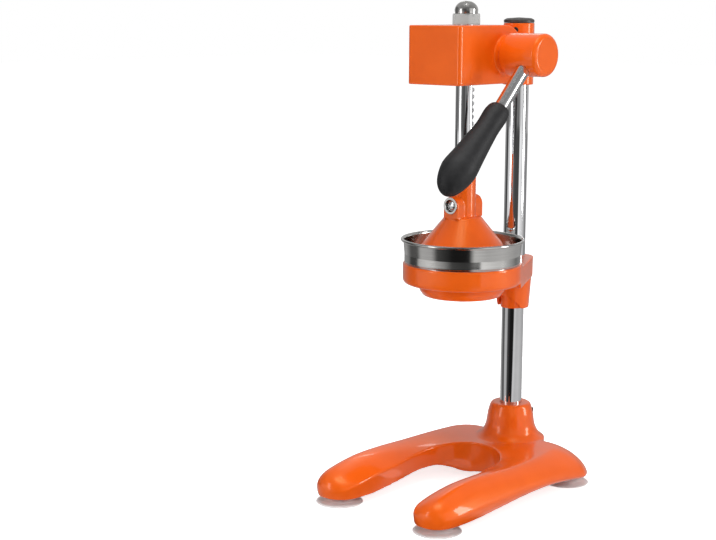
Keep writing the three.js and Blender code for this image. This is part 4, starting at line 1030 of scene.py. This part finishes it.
def strainer_bowl():
    node = "strainer_bowl"
    spout_end, rim = span(node, "z")
    rim_radius = size(node).x / 2
    seat = high("bowl_bracket").z + FIT
    well = seat - WELL_DEPTH
    funnel = well - FUNNEL_DEPTH
    half_spout = (funnel + spout_end) / 2
    bead = (rim_radius - BEAD_RADIUS, rim - BEAD_RADIUS)
    curl = arc(bead, BEAD_RADIUS, -120, 175, 20)
    profile = rounded([
        (SPOUT_RADIUS - SHEET, spout_end, EDGE), (SPOUT_RADIUS, spout_end, EDGE),
        (SPOUT_TOP_RADIUS - SHEET, half_spout, FUNNEL_ROUND), (SPOUT_TOP_RADIUS, funnel, FUNNEL_EDGE),
        (WELL_RADIUS - SHEET * 2, well, WELL_ROUND), (WELL_RADIUS, well + SHEET * 2, WELL_EDGE),
        (WELL_RADIUS, seat, SOFT_EDGE), (BOWL_RADIUS, seat, BOWL_ROUND),
    ], steps=5)
    profile += [(BOWL_RADIUS, curl[0][1] - SHEET), *curl, (BOWL_RADIUS - SHEET, bead[1] - SHEET)]
    profile += rounded([
        (BOWL_RADIUS - SHEET, seat + SHEET * 3), (BOWL_RADIUS - SHEET, seat + SHEET, WELL_EDGE / 2),
        (WELL_RADIUS - SHEET, seat + SHEET, WELL_EDGE / 2),
        (WELL_RADIUS - SHEET, well + SHEET * 3, WELL_EDGE),
        (WELL_RADIUS - SHEET * 3, well + SHEET, WELL_EDGE * 3 / 2),
        (SPOUT_TOP_RADIUS - SHEET / 2, funnel + SHEET, FUNNEL_EDGE),
        (SPOUT_TOP_RADIUS - SHEET * 2, half_spout, FUNNEL_ROUND), (SPOUT_RADIUS - SHEET, spout_end),
    ], steps=5)[:-1]
    made = turned(profile + profile[:1], BOWL_SIDES, ON_ROD)
    piece(made, node, "bowl", "stainless", sharp=40)


def reamer_insert():
    node = "reamer_insert"
    bottom, top = span(node, "z")
    radius = size(node).x / 2
    plate = bottom + SHEET
    shell = [(r * REAMER_RADIUS, plate + h * (top - plate)) for r, h in REAMER_STEP_SHARES]
    outside = smooth_line([*shell, (0, top)], steps=5)
    inside = [(max(r - SHEET, 0), z - SHEET) for r, z in reversed(outside)]
    outline = [(radius, bottom), (radius, plate), (REAMER_RADIUS + SHEET, plate), *outside, *inside]
    made = turned(outline + outline[:1], ROUND_SIDES, ON_ROD)
    for c, s in spokes(DRAIN_HOLES):
        hole_at = (DRAIN_CIRCLE_RADIUS * c, ROD.y + DRAIN_CIRCLE_RADIUS * s, 0)
        cut(made, bar(DRAIN_RADIUS, bottom - OVERRUN, plate + OVERRUN, DRAIN_SIDES, hole_at))
    piece(made, node, "bowl", "stainless", sharp=40)


# Bowl bracket

RING_RADIUS = 70.5
RING_HEIGHT = 24.0
RING_WALL = 5.0
DISH_RADIUS = 51.0
DISH_DEPTH = 15.0
DISH_FOOT_RADIUS = 46.0
DISH_WALL = 4.0
DISH_HOLE_RADIUS = 24.0
SLEEVE_TOP_RADIUS = 23.8
SLEEVE_FOOT_RADIUS = 19.4
SLEEVE_DROP = 4.0
SLEEVE_TUBE_RADIUS = 15.0
WEB_HEIGHT = 24.0
ARCH_RADIUS = 18.0
ARCH_DROP = 1.5
BRACKET_VOXEL = 1.0
BRACKET_CAST_PASSES = 4
CUP_ROUND = 5.0
CUP_STEP_EDGE = 1.5
CUP_RIM_EDGE = 0.8
CUP_FLOOR_ROUND = 3.0
CUP_LEDGE_ROUND = 2.0


def web_outline(throat):
    """The web between ring and sleeve: its sides are planes that touch both."""
    lean = (RING_RADIUS - SLEEVE_TOP_RADIUS) / throat
    right = [(radius * math.sqrt(1 - lean ** 2), y + radius * lean)
             for radius, y in ((RING_RADIUS, 0), (SLEEVE_TOP_RADIUS, throat))]
    return right + [(-x, y) for x, y in reversed(right)]


def bowl_bracket():
    node = "bowl_bracket"
    foot, top = span(node, "z")
    throat = COLUMN.y - ROD.y
    ring_foot = top - RING_HEIGHT
    dish_foot = ring_foot - DISH_DEPTH
    dish_floor, ledge = dish_foot + DISH_WALL, ring_foot + DISH_WALL
    inner = RING_RADIUS - RING_WALL
    cup = rounded([
        (DISH_HOLE_RADIUS, dish_foot, SOFT_EDGE), (DISH_FOOT_RADIUS, dish_foot, CUP_ROUND),
        (DISH_RADIUS, dish_foot + DISH_DEPTH / 2, CUP_ROUND), (DISH_RADIUS, ring_foot, CUP_STEP_EDGE),
        (RING_RADIUS, ring_foot, CUP_ROUND), (RING_RADIUS, top, CUP_RIM_EDGE),
        (inner, top, SOFT_EDGE), (inner, ledge, CUP_LEDGE_ROUND),
        (DISH_RADIUS - DISH_WALL, ledge, CUP_LEDGE_ROUND),
        (DISH_FOOT_RADIUS - DISH_WALL, dish_floor, CUP_FLOOR_ROUND),
        (DISH_HOLE_RADIUS, dish_floor, SOFT_EDGE),
    ])
    sleeve_top = top - SLEEVE_DROP
    made = turned([(0, foot), (SLEEVE_FOOT_RADIUS, foot), (SLEEVE_TOP_RADIUS, sleeve_top), (0, sleeve_top)],
                  place=ON_COLUMN)
    joined(made, extruded(web_outline(throat), sleeve_top - WEB_HEIGHT, sleeve_top, ON_ROD))
    cut(made, bar(inner, ring_foot, top + OVERRUN, place=ON_ROD))
    joined(made, turned(cup + cup[:1], place=ON_ROD))
    cast(made, BRACKET_VOXEL, BRACKET_CAST_PASSES)
    arch_at = (0, COLUMN.y, foot - ARCH_DROP)
    arch = bar(ARCH_RADIUS, -SLEEVE_TOP_RADIUS - OVERRUN, 0, place=arch_at, turn=ALONG_Y)
    cut(
        made,
        cut(arch, bar(SLEEVE_TUBE_RADIUS, foot - ARCH_RADIUS * 2, sleeve_top, place=ON_COLUMN)),
        bar(COLUMN_RADIUS + FIT, foot - OVERRUN, sleeve_top + OVERRUN, place=ON_COLUMN),
        grub_hole("bracket_set_screw"),
    )
    piece(made, node, "stand", "orange_paint", CAST_SHARP)


# The rest keeps its CAD shape, out of sight or flat

def finish_cad_nodes():
    kept = {"pinion_gear": "plain_steel", "pinion_key": "plain_steel", "head_bottom_plate": "black_steel"}
    kept.update({f"cup_stud_{corner}": "plain_steel" for corner in CORNERS})
    for node, slot in kept.items():
        made = frame["nodes"][node]
        made.data.materials.clear()
        made.data.materials.append(MATERIALS[slot])


# Studio, in metres

CAMERA_PLACE = (1.1037, -1.3852, 0.5809)
CAMERA_FORWARD = Vector((-0.6830, 0.7099, -0.1721))
CAMERA_AZIMUTH = -51.5  # in degrees from +X, seen from the object
CAMERA_LENS = 75.95
CAMERA_SHIFT = 0.0542
SENSOR_WIDTH = 36.0


def camera():
    data = bpy.data.cameras.new("camera")
    data.sensor_width = SENSOR_WIDTH
    data.lens = CAMERA_LENS
    data.shift_x = CAMERA_SHIFT
    made = linked("camera", data)
    made.location = CAMERA_PLACE
    made.rotation_euler = CAMERA_FORWARD.to_track_quat("-Z", "Y").to_euler()
    bpy.context.scene.camera = made


def seen_as(tree, seen, unseen):
    """Mixes two shaders: the first for camera, glossy and transmission rays, the second for light."""
    links = tree.links
    path, mix = add(tree, "LightPath"), add(tree, "MixShader")
    first, second = add(tree, "Math"), add(tree, "Math")
    first.operation = second.operation = "MAXIMUM"
    links.new(path.outputs["Is Camera Ray"], first.inputs[0])
    links.new(path.outputs["Is Glossy Ray"], first.inputs[1])
    links.new(first.outputs[0], second.inputs[0])
    links.new(path.outputs["Is Transmission Ray"], second.inputs[1])
    links.new(second.outputs[0], mix.inputs[0])
    links.new(unseen.outputs[0], mix.inputs[1])
    links.new(seen.outputs[0], mix.inputs[2])
    return mix.outputs[0]


WORLD_LIGHT = 0.38


def world():
    made = bpy.data.worlds.new("studio")
    made.use_nodes = True
    tree = made.node_tree
    tree.nodes.clear()
    white = add(tree, "Background", Color=(1, 1, 1, 1), Strength=1.0)
    light = add(tree, "Background", Color=(1, 1, 1, 1), Strength=WORLD_LIGHT)
    out = add(tree, "OutputWorld")
    tree.links.new(seen_as(tree, white, light), out.inputs[0])
    bpy.context.scene.world = made


FLOOR_HALF = 12.0
FLOOR_GLOW = 0.75  # lifts the open floor to white, for the eye and for reflections alone


def floor():
    mesh = bpy.data.meshes.new("floor")
    corners = [(x * FLOOR_HALF, y * FLOOR_HALF, 0) for x, y in ((-1, -1), (1, -1), (1, 1), (-1, 1))]
    mesh.from_pydata(corners, [], [(0, 1, 2, 3)])
    made = linked("floor", mesh)
    paper, tree, surface = shader("paper", (0.85, 0.85, 0.85), 1.0, Specular_IOR_Level=0.0)
    glow, none = add(tree, "Emission", Strength=FLOOR_GLOW), add(tree, "Emission", Strength=0.0)
    both = add(tree, "AddShader")
    tree.links.new(surface.outputs[0], both.inputs[0])
    tree.links.new(seen_as(tree, glow, none), both.inputs[1])
    tree.links.new(both.outputs[0], tree.nodes["Material Output"].inputs["Surface"])
    mesh.materials.append(paper)


LAMP_TARGET = Vector((0, 0, 0.28))
# Azimuth in degrees from the camera's side, height, distance, width and length of the box, and watts
LAMPS = {
    "soft_left": (-58, 0.55, 1.35, 0.30, 0.8, 1.8),
    "soft_right": (84, 0.55, 1.35, 0.28, 0.8, 5.5),
    "fill": (12, 0.85, 1.6, 0.8, 0.8, 7.0),
    "top": (0, 2.2, 0.35, 0.9, 0.9, 24),
    "back": (180, 1.4, 1.3, 0.6, 0.6, 3),
}


def lamp(name, azimuth, height, distance, width, length, watts):
    """A soft box that faces the object."""
    angle = math.radians(CAMERA_AZIMUTH + azimuth)
    place = Vector((distance * math.cos(angle), distance * math.sin(angle), height))
    data = bpy.data.lights.new(name, "AREA")
    data.shape = "RECTANGLE"
    data.size, data.size_y = width, length
    data.energy = watts
    made = linked(name, data)
    made.location = place
    made.rotation_euler = (LAMP_TARGET - place).to_track_quat("-Z", "Y").to_euler()
    made.visible_glossy = name != "fill"  # the fill leaves no spot on polished metal


def lights():
    for name, values in LAMPS.items():
        lamp(name, *values)


# The tent round the object, which only reflections show: brightness by the angle in degrees from
# the camera's side, on the lower and the upper part of the tent's wall, its floor and its roof
TENT_RADIUS = 1.45
TENT_STEP = 0.32
TENT_HEIGHT = 1.3
TENT_HOLE_RADIUS = 0.02
TENT_FLOOR_LIFT = 0.002
TENT_WALL = [
    (-180, 0.34), (-160, 0.32), (-130, 0.24), (-120, 0.05), (-100, 0.05), (-93, 0.60), (-70, 0.80),
    (-52, 0.62), (-37, 0.42), (-20, 0.09), (0, 0.06), (33, 0.06), (38, 1.0), (60, 0.80), (95, 0.52),
    (127, 0.18), (150, 0.28), (180, 0.34),
]
TENT_WALL_UPPER = [
    (-180, 0.50), (-150, 0.50), (-132, 0.12), (-99, 0.14), (-80, 0.25), (-67, 0.50), (-52, 0.80),
    (-42, 0.30), (-33, 0.11), (0, 0.08), (8, 0.25), (20, 0.10), (35, 0.50), (50, 0.80), (65, 0.60),
    (80, 0.30), (102, 0.20), (121, 0.43), (150, 0.50), (180, 0.50),
]
TENT_FLOOR = [
    (-180, 0.45), (-150, 0.45), (-120, 0.10), (-98, 0.10), (-88, 0.50), (-62, 0.45), (-50, 0.06), (-19, 0.01),
    (0, 0.01), (14, 0.01), (24, 0.65), (49, 0.50), (84, 0.55), (127, 0.40), (180, 0.45),
]
TENT_ROOF = [(-180, 0.38), (-120, 0.36), (-90, 0.30), (0, 0.18), (90, 0.30), (120, 0.36), (180, 0.38)]


def tent_material(name, stops):
    made = bpy.data.materials.new(name)
    made.use_nodes = True
    tree = made.node_tree
    tree.nodes.clear()
    place, sweep, ramp = add(tree, "TexCoord"), add(tree, "TexGradient"), add(tree, "ValToRGB")
    turn = add(tree, "Mapping", Rotation=(0, 0, math.radians(-CAMERA_AZIMUTH)))
    sweep.gradient_type = "RADIAL"
    elements = ramp.color_ramp.elements
    elements.remove(elements[1])
    elements[0].position = 0.0
    elements[0].color = (stops[0][1],) * 3 + (1,)
    for degrees, value in stops[1:]:
        elements.new(degrees / 360 + 0.5).color = (value,) * 3 + (1,)
    glow, out = add(tree, "Emission"), add(tree, "OutputMaterial")
    tree.links.new(place.outputs["Object"], turn.inputs["Vector"])
    tree.links.new(turn.outputs["Vector"], sweep.inputs["Vector"])
    tree.links.new(sweep.outputs["Fac"], ramp.inputs["Fac"])
    tree.links.new(ramp.outputs["Color"], glow.inputs["Color"])
    tree.links.new(glow.outputs[0], out.inputs["Surface"])
    return made


def tent_part(name, inner, outer, low_edge, high_edge, stops):
    mesh = bpy.data.meshes.new(name)
    sides = ROUND_SIDES
    vertices = [(radius * c, radius * s, height) for radius, height in ((inner, low_edge), (outer, high_edge))
                for c, s in spokes(sides)]
    faces = [(i, (i + 1) % sides, sides + (i + 1) % sides, sides + i) for i in range(sides)]
    mesh.from_pydata(vertices, [], faces)
    mesh.materials.append(tent_material(name, stops))
    made = linked(name, mesh)
    for ray in ("camera", "diffuse", "transmission", "volume_scatter", "shadow"):
        setattr(made, f"visible_{ray}", False)


def tent():
    tent_part("tent_wall", TENT_RADIUS, TENT_RADIUS, 0.0, TENT_STEP, TENT_WALL)
    tent_part("tent_wall_upper", TENT_RADIUS, TENT_RADIUS, TENT_STEP, TENT_HEIGHT, TENT_WALL_UPPER)
    tent_part("tent_floor", TENT_HOLE_RADIUS, TENT_RADIUS, TENT_FLOOR_LIFT, TENT_FLOOR_LIFT, TENT_FLOOR)
    tent_part("tent_roof", TENT_HOLE_RADIUS, TENT_RADIUS, TENT_HEIGHT, TENT_HEIGHT, TENT_ROOF)


camera()
world()
floor()
lights()
tent()
base_casting()
for corner_name in CORNERS:
    suction_cup(corner_name)
for screw_name in GRUBS:
    grub_screw(screw_name)
column()
column_cap()
head_housing()
bushes()
for number in range(1, 5):
    plate_screw(f"plate_screw_{number}")
pinion_shaft()
retaining_ring()
lever_hub()
lever_rod()
lever_grip()
plunger_rack()
acorn_nut()
press_cone()
cone_bolt()
cone_bolt_ferrule()
cone_bolt_nut()
strainer_bowl()
reamer_insert()
bowl_bracket()
finish_cad_nodes()

bpy.context.scene.view_settings.view_transform = "Standard"
